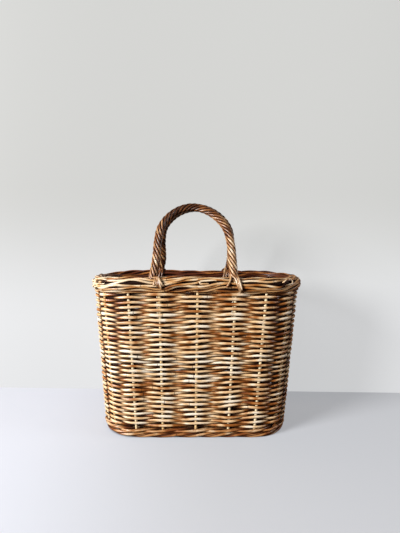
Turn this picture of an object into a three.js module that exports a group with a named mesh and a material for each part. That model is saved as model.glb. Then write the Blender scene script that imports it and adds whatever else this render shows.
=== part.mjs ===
// Rattan tote bag: a tapered, hand-woven body on a foot ring, with a rolled border and two roped handles.
// Millimetres. +Z is up, the front faces -Y and the length runs along X. The bag stands on Z = 0.
// Every rod is a solid of its own. The wall is woven: a weaver passes outside one stake and inside the next.

import * as THREE from "three";

// Space that is left between two rods that touch on the real bag.
const CLEARANCE = 0.3;

// Plan of the wall, measured to the middle of its stakes.
const BASE_LENGTH = 293;
const BASE_DEPTH = 110;
const BASE_CORNER_RADIUS = 52;
const RIM_WIDENING = 28;
const RIM_DEEPENING = 21;
const RIM_LENGTH = BASE_LENGTH + RIM_WIDENING;
const RIM_DEPTH = BASE_DEPTH + RIM_DEEPENING;
const RIM_CORNER_RADIUS = 53;
const BORDER_HEIGHT = 243;

// Stakes, placed by their share of a quarter of the way round. They stand closer together at the ends.
const STAKE_SHARES = [0, 0.287, 0.52, 0.725, 0.865];
const STAKE_HALF = 2.0;
const STAKE_SIDES = 6;
const STAKE_TOP_ABOVE_BORDER = 4;
const STAKE_BEND = 2.6;
const STAKES = 4 * STAKE_SHARES.length;

// Foot ring and the twisted pair of rods above it.
const FOOT_RING_HALF = 3.2;
const FOOT_RING_OUTSET = 1;
const FOOT_RING_STEPS = 36;
const FOOT_WALE_HALF = 1.55;

// Weavers of the wall and of the base.
const WEAVER_HALF = 1.64;
const SIDING_TURNS = 26;
const SIDING_RODS = 4;
const SPLICE_GAP = 1.6;
const FILLER_HALF = 1.6;
const FILLER_ROWS = [4, 3];
const FILLER_END_INSET = 8.2;

// Sides of the thin rods' sections.
const THIN_ROD_SIDES = 4;

// Extra room where a rod bends round another one.
const BEND_ROOM = 0.3;

// Border strands, rolled round the tops of the stakes.
const BORDER_STRANDS = 4;
const BORDER_STRAND_HALF = 2.2;
const BORDER_ROLL_RADIUS = 8.2;

// Handles: a bow core inside a laid rope, and the tails that tie each foot down.
const HANDLE_STAKE_COUNT = 1;
const HANDLE_TOP_HEIGHT = 366;
const HANDLE_SPRING_HEIGHT = 322;
const HANDLE_SPRING_HALF_SPAN = 57.5;
const HANDLE_LEAN = 4;
const HANDLE_GAP_AT_TOP = 2;
const ROPE_HALF = 6;
const ROPE_SIDES = 8;
const CORE_HALF = 2.2;
const CORE_SIDES = 6;
const CORE_POINT_HALF = 1.1;
const CORE_POINT_LENGTH = 48;
const CORE_TAPER_LENGTH = 14;
const TAIL_HALF = 1.5;
const TAIL_SPREAD = 12;

const RATTAN = { color: 0xc99a5f, roughness: 0.6, metalness: 0 };
const PALE_RATTAN = { color: 0xdcc08c, roughness: 0.6, metalness: 0 };
const DARK_RATTAN = { color: 0x9c6b3c, roughness: 0.55, metalness: 0 };
const UP = new THREE.Vector3(0, 0, 1);

/** Distance from the middle of a regular section to its corners, from the distance to its flats. */
function cornerRadius(half, sides) {
  return half / Math.cos(Math.PI / sides);
}

/** Corners of a regular section whose first flat faces the side direction, or the up direction if turned. */
function rodSection(half, sides, turned = false) {
  const radius = cornerRadius(half, sides);
  const start = turned ? 0 : Math.PI / sides;
  return Array.from({ length: sides }, (_, corner) => {
    const angle = start + (corner * 2 * Math.PI) / sides;
    return new THREE.Vector2(radius * Math.cos(angle), radius * Math.sin(angle));
  });
}

/** Joins rings of points into one closed skin, capped at both ends unless it closes on itself. */
function skinGeometry(rings, closed) {
  const sides = rings[0].length;
  const indices = [];
  const spans = closed ? rings.length : rings.length - 1;
  for (let ring = 0; ring < spans; ring++) {
    const here = ring * sides;
    const ahead = ((ring + 1) % rings.length) * sides;
    for (let side = 0; side < sides; side++) {
      const next = (side + 1) % sides;
      indices.push(here + side, here + next, ahead + next);
      indices.push(here + side, ahead + next, ahead + side);
    }
  }
  if (!closed) {
    const end = (rings.length - 1) * sides;
    for (let side = 1; side < sides - 1; side++) {
      indices.push(0, side + 1, side);
      indices.push(end, end + side, end + side + 1);
    }
  }
  const geometry = new THREE.BufferGeometry();
  const points = rings.flat().flatMap((point) => point.toArray());
  geometry.setAttribute("position", new THREE.Float32BufferAttribute(points, 3));
  geometry.setIndex(indices);
  geometry.computeVertexNormals();
  return geometry;
}

/** Directions of a path into and out of one of its points. */
function directionsAt(path, index, closed) {
  const count = path.length;
  const before = closed ? (index + count - 1) % count : Math.max(index - 1, 0);
  const after = closed ? (index + 1) % count : Math.min(index + 1, count - 1);
  const into = path[index].clone().sub(path[before]);
  const out = path[after].clone().sub(path[index]);
  if (into.lengthSq() === 0) {
    into.copy(out);
  }
  if (out.lengthSq() === 0) {
    out.copy(into);
  }
  return { into: into.normalize(), out: out.normalize() };
}

/** Section points carried along a path. The hint gives the section's up direction, and bends are mitred. */
function ringsAlong(path, section, hint, closed, scales) {
  return path.map((centre, index) => {
    const { into, out } = directionsAt(path, index, closed);
    const along = into.clone().add(out).normalize();
    const up = hint.clone().addScaledVector(along, -hint.dot(along)).normalize();
    const side = up.clone().cross(along);
    const mitre = 1 / Math.max(along.dot(out), 0.5);
    const scale = scales ? scales[index] : 1;
    return section.map((corner) =>
      centre.clone().addScaledVector(side, corner.x * mitre * scale).addScaledVector(up, corner.y * scale));
  });
}

/** A rod of constant section along a path. */
function rodGeometry(path, section, hint, closed = false) {
  return skinGeometry(ringsAlong(path, section, hint, closed), closed);
}

/** Plan of the wall's middle at one level, starting at the front centre and running anticlockwise. */
function planCurve(length, depth, corner) {
  const straightX = length / 2 - corner;
  const straightY = depth / 2 - corner;
  const plan = new THREE.Path();
  plan.moveTo(0, -depth / 2);
  plan.lineTo(straightX, -depth / 2);
  plan.absarc(straightX, -straightY, corner, -Math.PI / 2, 0, false);
  plan.lineTo(length / 2, straightY);
  plan.absarc(straightX, straightY, corner, 0, Math.PI / 2, false);
  plan.lineTo(-straightX, depth / 2);
  plan.absarc(-straightX, straightY, corner, Math.PI / 2, Math.PI, false);
  plan.lineTo(-length / 2, -straightY);
  plan.absarc(-straightX, -straightY, corner, Math.PI, 1.5 * Math.PI, false);
  plan.lineTo(0, -depth / 2);
  return plan;
}

const BASE_PLAN = planCurve(BASE_LENGTH, BASE_DEPTH, BASE_CORNER_RADIUS);
const RIM_PLAN = planCurve(RIM_LENGTH, RIM_DEPTH, RIM_CORNER_RADIUS);

/** Point on a plan at a share of the way round, raised to a height. */
function planPoint(plan, share, height) {
  const point = plan.getPoint(share % 1);
  return new THREE.Vector3(point.x, point.y, height);
}

/** Direction out of a plan at a share of the way round. */
function planNormal(plan, share) {
  const step = 0.001;
  const ahead = planPoint(plan, share + step, 0);
  const behind = planPoint(plan, share + 1 - step, 0);
  return ahead.sub(behind).normalize().cross(UP);
}

/** Shares of the way round at which the stakes stand, alike in all four quarters. */
function stakeShares() {
  const mirrored = STAKE_SHARES.map((share) => 1 - share).slice(1).reverse();
  return [0, 1, 2, 3].flatMap((quarter) => {
    const shares = quarter % 2 === 0 ? STAKE_SHARES : [0, ...mirrored];
    return shares.map((share) => (quarter + share) / 4);
  });
}

const STAKE_PLACES = stakeShares();

// Straight lines that the stakes follow up the wall.
const STAKE_LINES = STAKE_PLACES.map((share) => ({
  foot: planPoint(BASE_PLAN, share, 0),
  top: planPoint(RIM_PLAN, share, BORDER_HEIGHT),
  normal: planNormal(BASE_PLAN, share).add(planNormal(RIM_PLAN, share)).normalize(),
}));

/** Point on a stake at a height, moved outward by an offset. */
function stakePoint(stake, height, outward = 0) {
  const line = STAKE_LINES[((stake % STAKES) + STAKES) % STAKES];
  const point = line.foot.clone().lerp(line.top, height / BORDER_HEIGHT);
  return point.addScaledVector(line.normal, outward);
}

/** Point halfway between a stake and the next one. */
function gapPoint(stake, height) {
  return stakePoint(stake, height).lerp(stakePoint(stake + 1, height), 0.5);
}

/** Point where a rod bends round a stake, outside or inside it, on its way between two other points. */
function bendPoint(stake, height, reach, before, after) {
  const near = stakePoint(stake, height, reach);
  const across = near.clone().sub(stakePoint(stake, height)).normalize();
  const squareness = [near.clone().sub(before), after.clone().sub(near)].map((direction) =>
    Math.abs(across.x * direction.y - across.y * direction.x) / Math.hypot(direction.x, direction.y));
  return stakePoint(stake, height, reach / Math.min(...squareness));
}

const parts = new THREE.Group();

/** Adds one named piece to the bag. */
function addPart(name, geometry, look) {
  const mesh = new THREE.Mesh(geometry, new THREE.MeshStandardMaterial(look));
  mesh.name = name;
  parts.add(mesh);
}

// Levels of the base and the wall, each one stacked on the one below.
const STAKE_RADIUS = cornerRadius(STAKE_HALF, STAKE_SIDES);
const BASE_LEVEL = 2 * FOOT_RING_HALF + CLEARANCE + STAKE_RADIUS;
const WALL_LEAN = (RIM_LENGTH - BASE_LENGTH) / 2 / BORDER_HEIGHT;
const WALE_REACH = STAKE_RADIUS + CLEARANCE + FOOT_WALE_HALF + BEND_ROOM;
const WEAVER_REACH = STAKE_RADIUS + CLEARANCE + WEAVER_HALF * (1 + WALL_LEAN);
const WALE_CROSSING = 2 * FOOT_WALE_HALF + CLEARANCE;
const WALE_LIFT = WALE_CROSSING / (2 - WALE_CROSSING / WALE_REACH);
const WALE_ROOM = cornerRadius(FOOT_WALE_HALF, THIN_ROD_SIDES) + CLEARANCE + BEND_ROOM + STAKE_RADIUS;
const WALE_LEVEL = BASE_LEVEL + STAKE_BEND + Math.SQRT2 * WALE_ROOM - WALE_REACH;
const SIDING_BOTTOM = WALE_LEVEL + WALE_LIFT + FOOT_WALE_HALF + CLEARANCE + WEAVER_HALF;
const TAIL_LEVEL = BORDER_HEIGHT - BORDER_ROLL_RADIUS - BORDER_STRAND_HALF - CLEARANCE - TAIL_HALF;
const SIDING_TOP = TAIL_LEVEL - TAIL_HALF - CLEARANCE - WEAVER_HALF;
const TURN_RISE = (SIDING_TOP - SIDING_BOTTOM) / SIDING_TURNS;
const HANDLE_FOOT_HEIGHT = BORDER_HEIGHT + BORDER_ROLL_RADIUS + BORDER_STRAND_HALF + CLEARANCE;

/** The ring that the bag stands on, flat underneath. */
function addFootRing() {
  const path = Array.from({ length: FOOT_RING_STEPS }, (_, step) => {
    const share = step / FOOT_RING_STEPS;
    const point = planPoint(BASE_PLAN, share, FOOT_RING_HALF);
    return point.addScaledVector(planNormal(BASE_PLAN, share), FOOT_RING_OUTSET);
  });
  addPart("foot_ring", rodGeometry(path, rodSection(FOOT_RING_HALF, 6, true), UP, true), DARK_RATTAN);
}

/** Path of a rod up one wall, across the base through the given points, and up the opposite wall. */
function stakePairPath(first, second, inward, crossing) {
  const top = BORDER_HEIGHT + STAKE_TOP_ABOVE_BORDER;
  const bendTop = BASE_LEVEL + STAKE_BEND;
  return [
    stakePoint(first, top),
    stakePoint(first, bendTop),
    stakePoint(first, BASE_LEVEL).addScaledVector(inward, STAKE_BEND),
    ...crossing,
    stakePoint(second, BASE_LEVEL).addScaledVector(inward, -STAKE_BEND),
    stakePoint(second, bendTop),
    stakePoint(second, top),
  ];
}

const SIDE_STAKES = STAKE_SHARES.length;
const CROSS_PAIRS = [-2, -1, 0, 1, 2].map((stake) => [stake, 2 * SIDE_STAKES - stake]);
const LONG_PAIRS = [-2, -1, 0, 1, 2].map((stake) => [3 * SIDE_STAKES - stake, SIDE_STAKES + stake]);
const CROSS_PLACES = CROSS_PAIRS.map(([front]) => stakePoint(front, BASE_LEVEL).x);
const LONG_PLACES = LONG_PAIRS.map(([, right]) => stakePoint(right, BASE_LEVEL).y);

/** Points of a rod that runs along the base, over one cross rod and under the next. */
function baseWeave(y, lift, overFirst) {
  return CROSS_PLACES.map((x, index) => {
    const over = (index % 2 === 0) === overFirst;
    return new THREE.Vector3(x, y, BASE_LEVEL + (over ? lift : -lift));
  });
}

/** Rods across the base and along it, which turn up at both ends as the stakes of the wall. */
function addStakes() {
  const section = rodSection(STAKE_HALF, STAKE_SIDES);
  const backward = new THREE.Vector3(0, 1, 0);
  const rightward = new THREE.Vector3(1, 0, 0);
  const lift = 2 * STAKE_HALF + CLEARANCE + BEND_ROOM;
  CROSS_PAIRS.forEach(([front, back], index) => {
    const path = stakePairPath(front, back, backward, []);
    addPart(`cross_stake_${index + 1}`, rodGeometry(path, section, rightward), PALE_RATTAN);
  });
  LONG_PAIRS.forEach(([left, right], index) => {
    const overFirst = rowOf(index - 2) % 2 === 0;
    const path = stakePairPath(left, right, rightward, baseWeave(LONG_PLACES[index], lift, overFirst));
    addPart(`long_stake_${index + 1}`, rodGeometry(path, section, backward), PALE_RATTAN);
  });
}

/** Row of the base weave, counted from the middle, that a long rod takes. */
function rowOf(longRod) {
  return FILLER_ROWS.slice(0, Math.abs(longRod)).reduce((row, fillers) => row + fillers + 1, 0);
}

/** Half length of the base at a distance from its long axis. */
function baseHalfLength(y) {
  const straightX = BASE_LENGTH / 2 - BASE_CORNER_RADIUS;
  const intoCorner = Math.max(Math.abs(y) - (BASE_DEPTH / 2 - BASE_CORNER_RADIUS), 0);
  return straightX + Math.sqrt(BASE_CORNER_RADIUS ** 2 - intoCorner ** 2);
}

/** Thin rods that run to and fro between the long rods and fill the base. */
function addFillers() {
  const section = rodSection(FILLER_HALF, THIN_ROD_SIDES);
  const lift = STAKE_HALF + CLEARANCE + FILLER_HALF + BEND_ROOM;
  for (const side of [-1, 1]) {
    FILLER_ROWS.forEach((rows, band) => {
      const near = LONG_PLACES[2 + side * band];
      const far = LONG_PLACES[2 + side * (band + 1)];
      const path = [];
      for (let row = 1; row <= rows; row++) {
        const y = near + ((far - near) * row) / (rows + 1);
        const overFirst = (rowOf(band) + row) % 2 === 0;
        const end = baseHalfLength(far) - FILLER_END_INSET;
        const pass = [
          new THREE.Vector3(-end, y, BASE_LEVEL),
          ...baseWeave(y, lift, overFirst),
          new THREE.Vector3(end, y, BASE_LEVEL),
        ];
        path.push(...(row % 2 === 0 ? pass.reverse() : pass));
      }
      const name = `base_filler_${side < 0 ? "front" : "back"}_${band + 1}`;
      addPart(name, rodGeometry(path, section, UP), RATTAN);
    });
  }
}

/** Two rods twisted round each other and round every stake, just above the base. */
function addFootWale() {
  const section = rodSection(FOOT_WALE_HALF, THIN_ROD_SIDES);
  ["a", "b"].forEach((letter, strand) => {
    const path = [];
    for (let stake = 0; stake < STAKES; stake++) {
      const outside = (stake + strand) % 2 === 0 ? 1 : -1;
      const before = gapPoint(stake - 1, WALE_LEVEL);
      const after = gapPoint(stake, WALE_LEVEL);
      path.push(bendPoint(stake, WALE_LEVEL, outside * WALE_REACH, before, after));
      path.push(after.setZ(WALE_LEVEL + outside * WALE_LIFT));
    }
    addPart(`foot_wale_${letter}`, rodGeometry(path, section, UP, true), RATTAN);
  });
}

/** Point of a weaver at a count of stakes passed. It is outside every other stake and inside the rest. */
function weaverPoint(strand, passed) {
  const reach = (passed + strand) % 2 === 0 ? WEAVER_REACH : -WEAVER_REACH;
  const turns = passed / STAKES - strand / 2;
  const height = SIDING_BOTTOM + turns * TURN_RISE;
  const before = stakePoint(passed - 1, height, -reach);
  const after = stakePoint(passed + 1, height, -reach);
  return bendPoint(passed, height, reach, before, after);
}

/** Long weavers of the wall. Two sets start on opposite sides and chase each other up the stakes. */
function addSiding() {
  const section = rodSection(WEAVER_HALF, THIN_ROD_SIDES);
  ["a", "b"].forEach((letter, strand) => {
    for (let rod = 0; rod < SIDING_RODS; rod++) {
      const path = [];
      for (let passed = splicePass(rod, strand); passed <= splicePass(rod + 1, strand); passed++) {
        path.push(weaverPoint(strand, passed));
      }
      if (rod > 0) {
        const ahead = path[1].clone().sub(path[0]).normalize();
        path[0].addScaledVector(ahead, SPLICE_GAP);
      }
      addPart(`siding_${letter}_${rod + 1}`, rodGeometry(path, section, UP), RATTAN);
    }
  });
}

/** Count of stakes passed where one weaver hands over to the next, always inside a stake. */
function splicePass(rod, strand) {
  const evenly = Math.round(STAKES * ((SIDING_TURNS * rod) / SIDING_RODS + strand / 2));
  const inside = (evenly + strand) % 2 !== 0;
  if (inside) {
    return evenly;
  }
  return rod === 0 ? evenly + 1 : evenly - 1;
}

/** Strands rolled round the stake tops. In each gap one strand dips under the wall and one rises over it. */
function addBorder() {
  const section = rodSection(BORDER_STRAND_HALF, THIN_ROD_SIDES);
  for (let strand = 0; strand < BORDER_STRANDS; strand++) {
    const path = [];
    for (let half = 0; half < 2 * STAKES; half++) {
      const stake = Math.floor(half / 2);
      const here = STAKE_PLACES[stake];
      const ahead = stake + 1 < STAKES ? STAKE_PLACES[stake + 1] : 1;
      const share = half % 2 === 0 ? here : (here + ahead) / 2;
      const angle = Math.PI / 4 + (Math.PI / 2) * (half / 2 + strand);
      const height = BORDER_HEIGHT + BORDER_ROLL_RADIUS * Math.sin(angle);
      const point = planPoint(RIM_PLAN, share, height);
      path.push(point.addScaledVector(planNormal(RIM_PLAN, share), BORDER_ROLL_RADIUS * Math.cos(angle)));
    }
    addPart(`border_strand_${strand + 1}`, rodGeometry(path, section, UP, true), RATTAN);
  }
}

/** Line of a handle's core on the left of its stake, at a height in the wall. */
function corePoint(side, face, height) {
  const stake = face < 0 ? side * HANDLE_STAKE_COUNT : 2 * SIDE_STAKES - side * HANDLE_STAKE_COUNT;
  const beside = STAKE_RADIUS + CLEARANCE + cornerRadius(CORE_POINT_HALF, CORE_SIDES);
  return stakePoint(stake, height).add(new THREE.Vector3(-beside, 0, 0));
}

/** Place along the bag that is halfway between a handle's feet. */
function handleMiddle(face) {
  return (corePoint(-1, face, HANDLE_FOOT_HEIGHT).x + corePoint(1, face, HANDLE_FOOT_HEIGHT).x) / 2;
}

/** Middle line of one side of a handle above the border, from the foot to just before the top. */
function handleSide(side, face) {
  const foot = corePoint(side, face, HANDLE_FOOT_HEIGHT);
  const middle = handleMiddle(face);
  const topY = face * (HANDLE_GAP_AT_TOP / 2 + cornerRadius(ROPE_HALF, ROPE_SIDES));
  const rise = HANDLE_TOP_HEIGHT - HANDLE_SPRING_HEIGHT;
  const place = (x, height) => {
    const lowest = HANDLE_FOOT_HEIGHT + CORE_HALF;
    const climbed = (height - lowest) / (HANDLE_TOP_HEIGHT - lowest);
    return new THREE.Vector3(x - HANDLE_LEAN * climbed, foot.y + (topY - foot.y) * climbed ** 1.2, height);
  };
  const straightEnd = HANDLE_FOOT_HEIGHT + CORE_HALF;
  const points = [foot];
  const legSteps = 4;
  for (let step = 0; step < legSteps; step++) {
    const climbed = step / legSteps;
    const x = foot.x + (middle + side * HANDLE_SPRING_HALF_SPAN - foot.x) * climbed * (2 - climbed);
    points.push(place(x, straightEnd + (HANDLE_SPRING_HEIGHT - straightEnd) * climbed));
  }
  const bowSteps = 6;
  for (let step = 0; step < bowSteps; step++) {
    const angle = (step / bowSteps) * (Math.PI / 2);
    const x = middle + side * HANDLE_SPRING_HALF_SPAN * Math.cos(angle);
    points.push(place(x, HANDLE_SPRING_HEIGHT + rise * Math.sin(angle)));
  }
  return points;
}

/** Middle line of a whole handle, from its left foot over the top to its right foot. */
function handlePath(face) {
  const top = HANDLE_GAP_AT_TOP / 2 + cornerRadius(ROPE_HALF, ROPE_SIDES);
  return [
    ...handleSide(-1, face),
    new THREE.Vector3(handleMiddle(face) - HANDLE_LEAN, face * top, HANDLE_TOP_HEIGHT),
    ...handleSide(1, face).reverse(),
  ];
}

/** The rope round a handle's core: a sleeve, open at both feet, that the core runs through. */
function ropeGeometry(path) {
  const across = new THREE.Vector3(0, 1, 0);
  const outer = ringsAlong(path, rodSection(ROPE_HALF, ROPE_SIDES), across, false);
  const hollow = cornerRadius(CORE_HALF, CORE_SIDES) + CLEARANCE;
  const inner = ringsAlong(path, rodSection(hollow, ROPE_SIDES), across, false);
  const sides = ROPE_SIDES;
  const indices = [];
  const wrap = outer.length * sides;
  for (let ring = 0; ring < outer.length - 1; ring++) {
    for (let side = 0; side < sides; side++) {
      const next = (side + 1) % sides;
      const here = ring * sides;
      const ahead = here + sides;
      indices.push(here + side, here + next, ahead + next, here + side, ahead + next, ahead + side);
      indices.push(wrap + here + side, wrap + ahead + next, wrap + here + next);
      indices.push(wrap + here + side, wrap + ahead + side, wrap + ahead + next);
    }
  }
  const end = (outer.length - 1) * sides;
  for (let side = 0; side < sides; side++) {
    const next = (side + 1) % sides;
    indices.push(side, wrap + side, wrap + next, side, wrap + next, next);
    indices.push(end + side, end + next, wrap + end + next, end + side, wrap + end + next, wrap + end + side);
  }
  const geometry = new THREE.BufferGeometry();
  const points = [...outer, ...inner].flat().flatMap((point) => point.toArray());
  geometry.setAttribute("position", new THREE.Float32BufferAttribute(points, 3));
  geometry.setIndex(indices);
  geometry.computeVertexNormals();
  return geometry;
}

/** The bow inside a handle. Its ends taper and run down beside a stake. */
function coreGeometry(path, face) {
  const point = BORDER_HEIGHT - CORE_POINT_LENGTH;
  const full = [corePoint(-1, face, point), ...path, corePoint(1, face, point)];
  const scales = full.map(({ z }) => {
    const tapered = THREE.MathUtils.smoothstep(z, HANDLE_FOOT_HEIGHT, HANDLE_FOOT_HEIGHT + CORE_TAPER_LENGTH);
    return (CORE_POINT_HALF + (CORE_HALF - CORE_POINT_HALF) * tapered) / CORE_HALF;
  });
  const across = new THREE.Vector3(0, 1, 0);
  return skinGeometry(ringsAlong(full, rodSection(CORE_HALF, CORE_SIDES), across, false, scales), false);
}

/** A tail of the rope: over the outside of the border, through the wall below it and up the inside. */
function tailPath(side, face, spread) {
  const foot = corePoint(side, face, HANDLE_FOOT_HEIGHT);
  const middle = face * RIM_DEPTH / 2;
  const round = BORDER_ROLL_RADIUS + BORDER_STRAND_HALF + CLEARANCE + TAIL_HALF;
  const room = CLEARANCE + BEND_ROOM;
  const beside = cornerRadius(ROPE_HALF, ROPE_SIDES) + cornerRadius(TAIL_HALF, THIN_ROD_SIDES) + room;
  const end = HANDLE_FOOT_HEIGHT + 2 * TAIL_HALF;
  const place = (share, outward, height) =>
    new THREE.Vector3(foot.x + spread * share, middle + face * outward, height);
  const through = BORDER_ROLL_RADIUS / 2;
  const downOutside = [
    place(0.25, beside, end),
    place(0.5, round, BORDER_HEIGHT + BORDER_STRAND_HALF),
    place(1, round, BORDER_HEIGHT - BORDER_ROLL_RADIUS),
    place(1, through, TAIL_LEVEL),
  ];
  const upInside = [
    place(1, -through, TAIL_LEVEL),
    place(1, -round, BORDER_HEIGHT - BORDER_ROLL_RADIUS),
    place(0.5, -round, BORDER_HEIGHT + BORDER_STRAND_HALF),
    place(0.25, -beside, end),
  ];
  return [...downOutside, ...upInside];
}

/** Both handles with the tails that hold their feet. */
function addHandles() {
  const tailSection = rodSection(TAIL_HALF, THIN_ROD_SIDES);
  const rightward = new THREE.Vector3(1, 0, 0);
  for (const [faceName, face] of [["front", -1], ["back", 1]]) {
    const path = handlePath(face);
    addPart(`handle_${faceName}_core`, coreGeometry(path, face), DARK_RATTAN);
    addPart(`handle_${faceName}_rope`, ropeGeometry(path), DARK_RATTAN);
    for (const [sideName, side] of [["left", -1], ["right", 1]]) {
      [-TAIL_SPREAD, TAIL_SPREAD].forEach((spread, index) => {
        const geometry = rodGeometry(tailPath(side, face, spread), tailSection, rightward);
        addPart(`tail_${faceName}_${sideName}_${index + 1}`, geometry, DARK_RATTAN);
      });
    }
  }
}

addFootRing();
addStakes();
addFillers();
addFootWale();
addSiding();
addBorder();
addHandles();

export default parts;
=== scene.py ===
"""Rattan tote bag: a tapered woven body on a foot ring, with a rolled border and two roped handles.

Metres. +Z is up, the front faces -Y and the length runs along X. The bag stands on Z = 0.
"""

import logging
import math
from dataclasses import dataclass, field
from enum import Enum

import bpy
import numpy as np
from mathutils import Euler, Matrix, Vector


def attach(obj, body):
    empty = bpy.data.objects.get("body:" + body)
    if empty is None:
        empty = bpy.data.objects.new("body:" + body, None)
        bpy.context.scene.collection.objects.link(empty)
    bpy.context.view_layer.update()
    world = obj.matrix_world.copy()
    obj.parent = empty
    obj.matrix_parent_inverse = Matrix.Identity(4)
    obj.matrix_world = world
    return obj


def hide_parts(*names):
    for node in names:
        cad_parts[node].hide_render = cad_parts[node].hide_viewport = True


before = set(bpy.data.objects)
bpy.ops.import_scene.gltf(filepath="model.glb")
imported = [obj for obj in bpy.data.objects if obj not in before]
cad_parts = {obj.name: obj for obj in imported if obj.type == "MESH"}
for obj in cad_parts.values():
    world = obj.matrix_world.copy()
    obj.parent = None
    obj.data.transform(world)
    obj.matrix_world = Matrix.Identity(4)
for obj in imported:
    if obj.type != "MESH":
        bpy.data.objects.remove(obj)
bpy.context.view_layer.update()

LOG = logging.getLogger("tote_bag")
TURN = 2 * math.pi
LENGTHWISE = np.array([1.0, 0.0, 0.0])
CROSSWISE = np.array([0.0, 1.0, 0.0])
UPWARD = np.array([0.0, 0.0, 1.0])

Array = np.ndarray
Values = np.ndarray | float
Chance = np.random.Generator
Inputs = dict[str | int, object]


class Slot(Enum):
    """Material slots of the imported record."""

    WEAVER = "weaver"
    STAKE = "stake"
    BORDER_ROD = "border_rod"
    FOOT_ROD = "foot_rod"
    HANDLE_ROPE = "handle_rope"
    HANDLE_CORE = "handle_core"


class Face(Enum):
    """The two long faces of the bag, by the sign of Y."""

    FRONT = -1
    BACK = 1


class Side(Enum):
    """The two ends of the bag, by the sign of X."""

    LEFT = -1
    RIGHT = 1


class Socket(Enum):
    """Kinds of socket on a node group."""

    FLOAT = "NodeSocketFloat"
    VECTOR = "NodeSocketVector"
    COLOUR = "NodeSocketColor"


def unit(vectors: Array) -> Array:
    """Vectors scaled to a length of one."""
    return vectors / np.maximum(np.linalg.norm(vectors, axis=-1, keepdims=True), 1e-9)


def square_to(ahead: Array, vectors: Array) -> Array:
    """Unit vectors at right angles to a path's directions, as near to the given ones as can be."""
    return unit(vectors - ahead * np.sum(vectors * ahead, axis=1, keepdims=True))


def linear(written: str) -> tuple[float, float, float, float]:
    """Turns a colour as it is written for screens into the linear one that shaders take.

    Args:
        written: Six hexadecimal digits, red first.

    Returns:
        Red, green, blue and an alpha of one.
    """
    parts = [int(written[i:i + 2], 16) / 255 for i in (0, 2, 4)]
    red, green, blue = (c / 12.92 if c <= 0.04045 else ((c + 0.055) / 1.055) ** 2.4 for c in parts)
    return red, green, blue, 1.0


def softened(points: Array, passes: int) -> Array:
    """Cuts the corners of an open path, keeping its ends.

    Args:
        points: Points of the path, one a row.
        passes: How often each corner is cut.

    Returns:
        The rounder path.
    """
    for _ in range(passes):
        before = points[:-1]
        after = points[1:]
        cut = np.stack([0.75 * before + 0.25 * after, 0.25 * before + 0.75 * after], axis=1)
        points = np.concatenate([points[:1], cut.reshape(-1, 3), points[-1:]])
    return points


def travelled(points: Array) -> Array:
    """Distance along a path at each of its points."""
    lengths = np.linalg.norm(np.diff(points, axis=0), axis=1)
    return np.concatenate([[0.0], np.cumsum(lengths)])


def spaced(points: Array, step: float) -> Array:
    """Places points evenly along a path.

    Args:
        points: Points of the path, one a row.
        step: Distance between the new points.

    Returns:
        The new points, with the same ends.
    """
    reached = travelled(points)
    wanted = np.linspace(0.0, reached[-1], max(2, round(reached[-1] / step) + 1))
    return np.stack([np.interp(wanted, reached, column) for column in points.T], axis=1)


def new_object(name: str, data: bpy.types.ID) -> bpy.types.Object:
    """Adds an object to the scene.

    Args:
        name: Its name.
        data: Its mesh, lamp or camera.

    Returns:
        The object.
    """
    made = bpy.data.objects.new(name, data)
    bpy.context.scene.collection.objects.link(made)
    return made


@dataclass(frozen=True)
class Fade:
    """A change that grows over a width from a start, towards lower values where the width is negative."""

    start: float
    width: float
    power: float = 1.0
    amount: float = 1.0

    def at(self, values: Values) -> Values:
        """The change at the values, from none to its full amount."""
        return self.amount * np.clip((values - self.start) / self.width, 0.0, 1.0) ** self.power


@dataclass(frozen=True)
class Wave:
    """A wave along a rod that goes round the bag: its size, its count of crests and where it starts."""

    size: float
    crests: float
    start: float = 0.0

    def at(self, shares: Array, later: float = 0.0) -> Array:
        """The wave at shares of the way round, moved on by a share of a crest."""
        return self.size * np.sin(TURN * (self.crests * shares + self.start + later))


@dataclass(frozen=True)
class Spread:
    """A value that differs from rod to rod."""

    usual: float
    spread: float
    low: float
    high: float

    def draw(self, chance: Chance) -> float:
        """The value of one rod."""
        return float(np.clip(chance.normal(self.usual, self.spread), self.low, self.high))


@dataclass(frozen=True)
class RoundedPlan:
    """A rectangle with round corners, traced from the front centre towards +X."""

    length: float
    depth: float
    corner: float

    @property
    def perimeter(self) -> float:
        """Length of the outline."""
        return 2 * (self.length + self.depth) + (TURN - 8) * self.corner

    def trace(self, shares: Array) -> tuple[Array, Array]:
        """Follows the outline.

        Args:
            shares: Shares of the way round.

        Returns:
            Points and outward directions in the plan, one a row.
        """
        half_x = self.length / 2 - self.corner
        half_y = self.depth / 2 - self.corner
        arc = self.corner * math.pi / 2
        knots = np.cumsum([0, half_x, arc, 2 * half_y, arc, 2 * half_x, arc, 2 * half_y, arc, half_x])
        along = np.mod(shares, 1.0) * knots[-1]
        facing = np.radians(np.interp(along, knots, [-90, -90, 0, 0, 90, 90, 180, 180, 270, 270]))
        x = np.interp(along, knots, half_x * np.array([0, 1, 1, 1, 1, -1, -1, -1, -1, 0]))
        y = np.interp(along, knots, half_y * np.array([-1, -1, -1, 1, 1, 1, 1, -1, -1, -1]))
        outward = np.stack([np.cos(facing), np.sin(facing)], axis=-1)
        return np.stack([x, y], axis=-1) + self.corner * outward, outward


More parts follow.
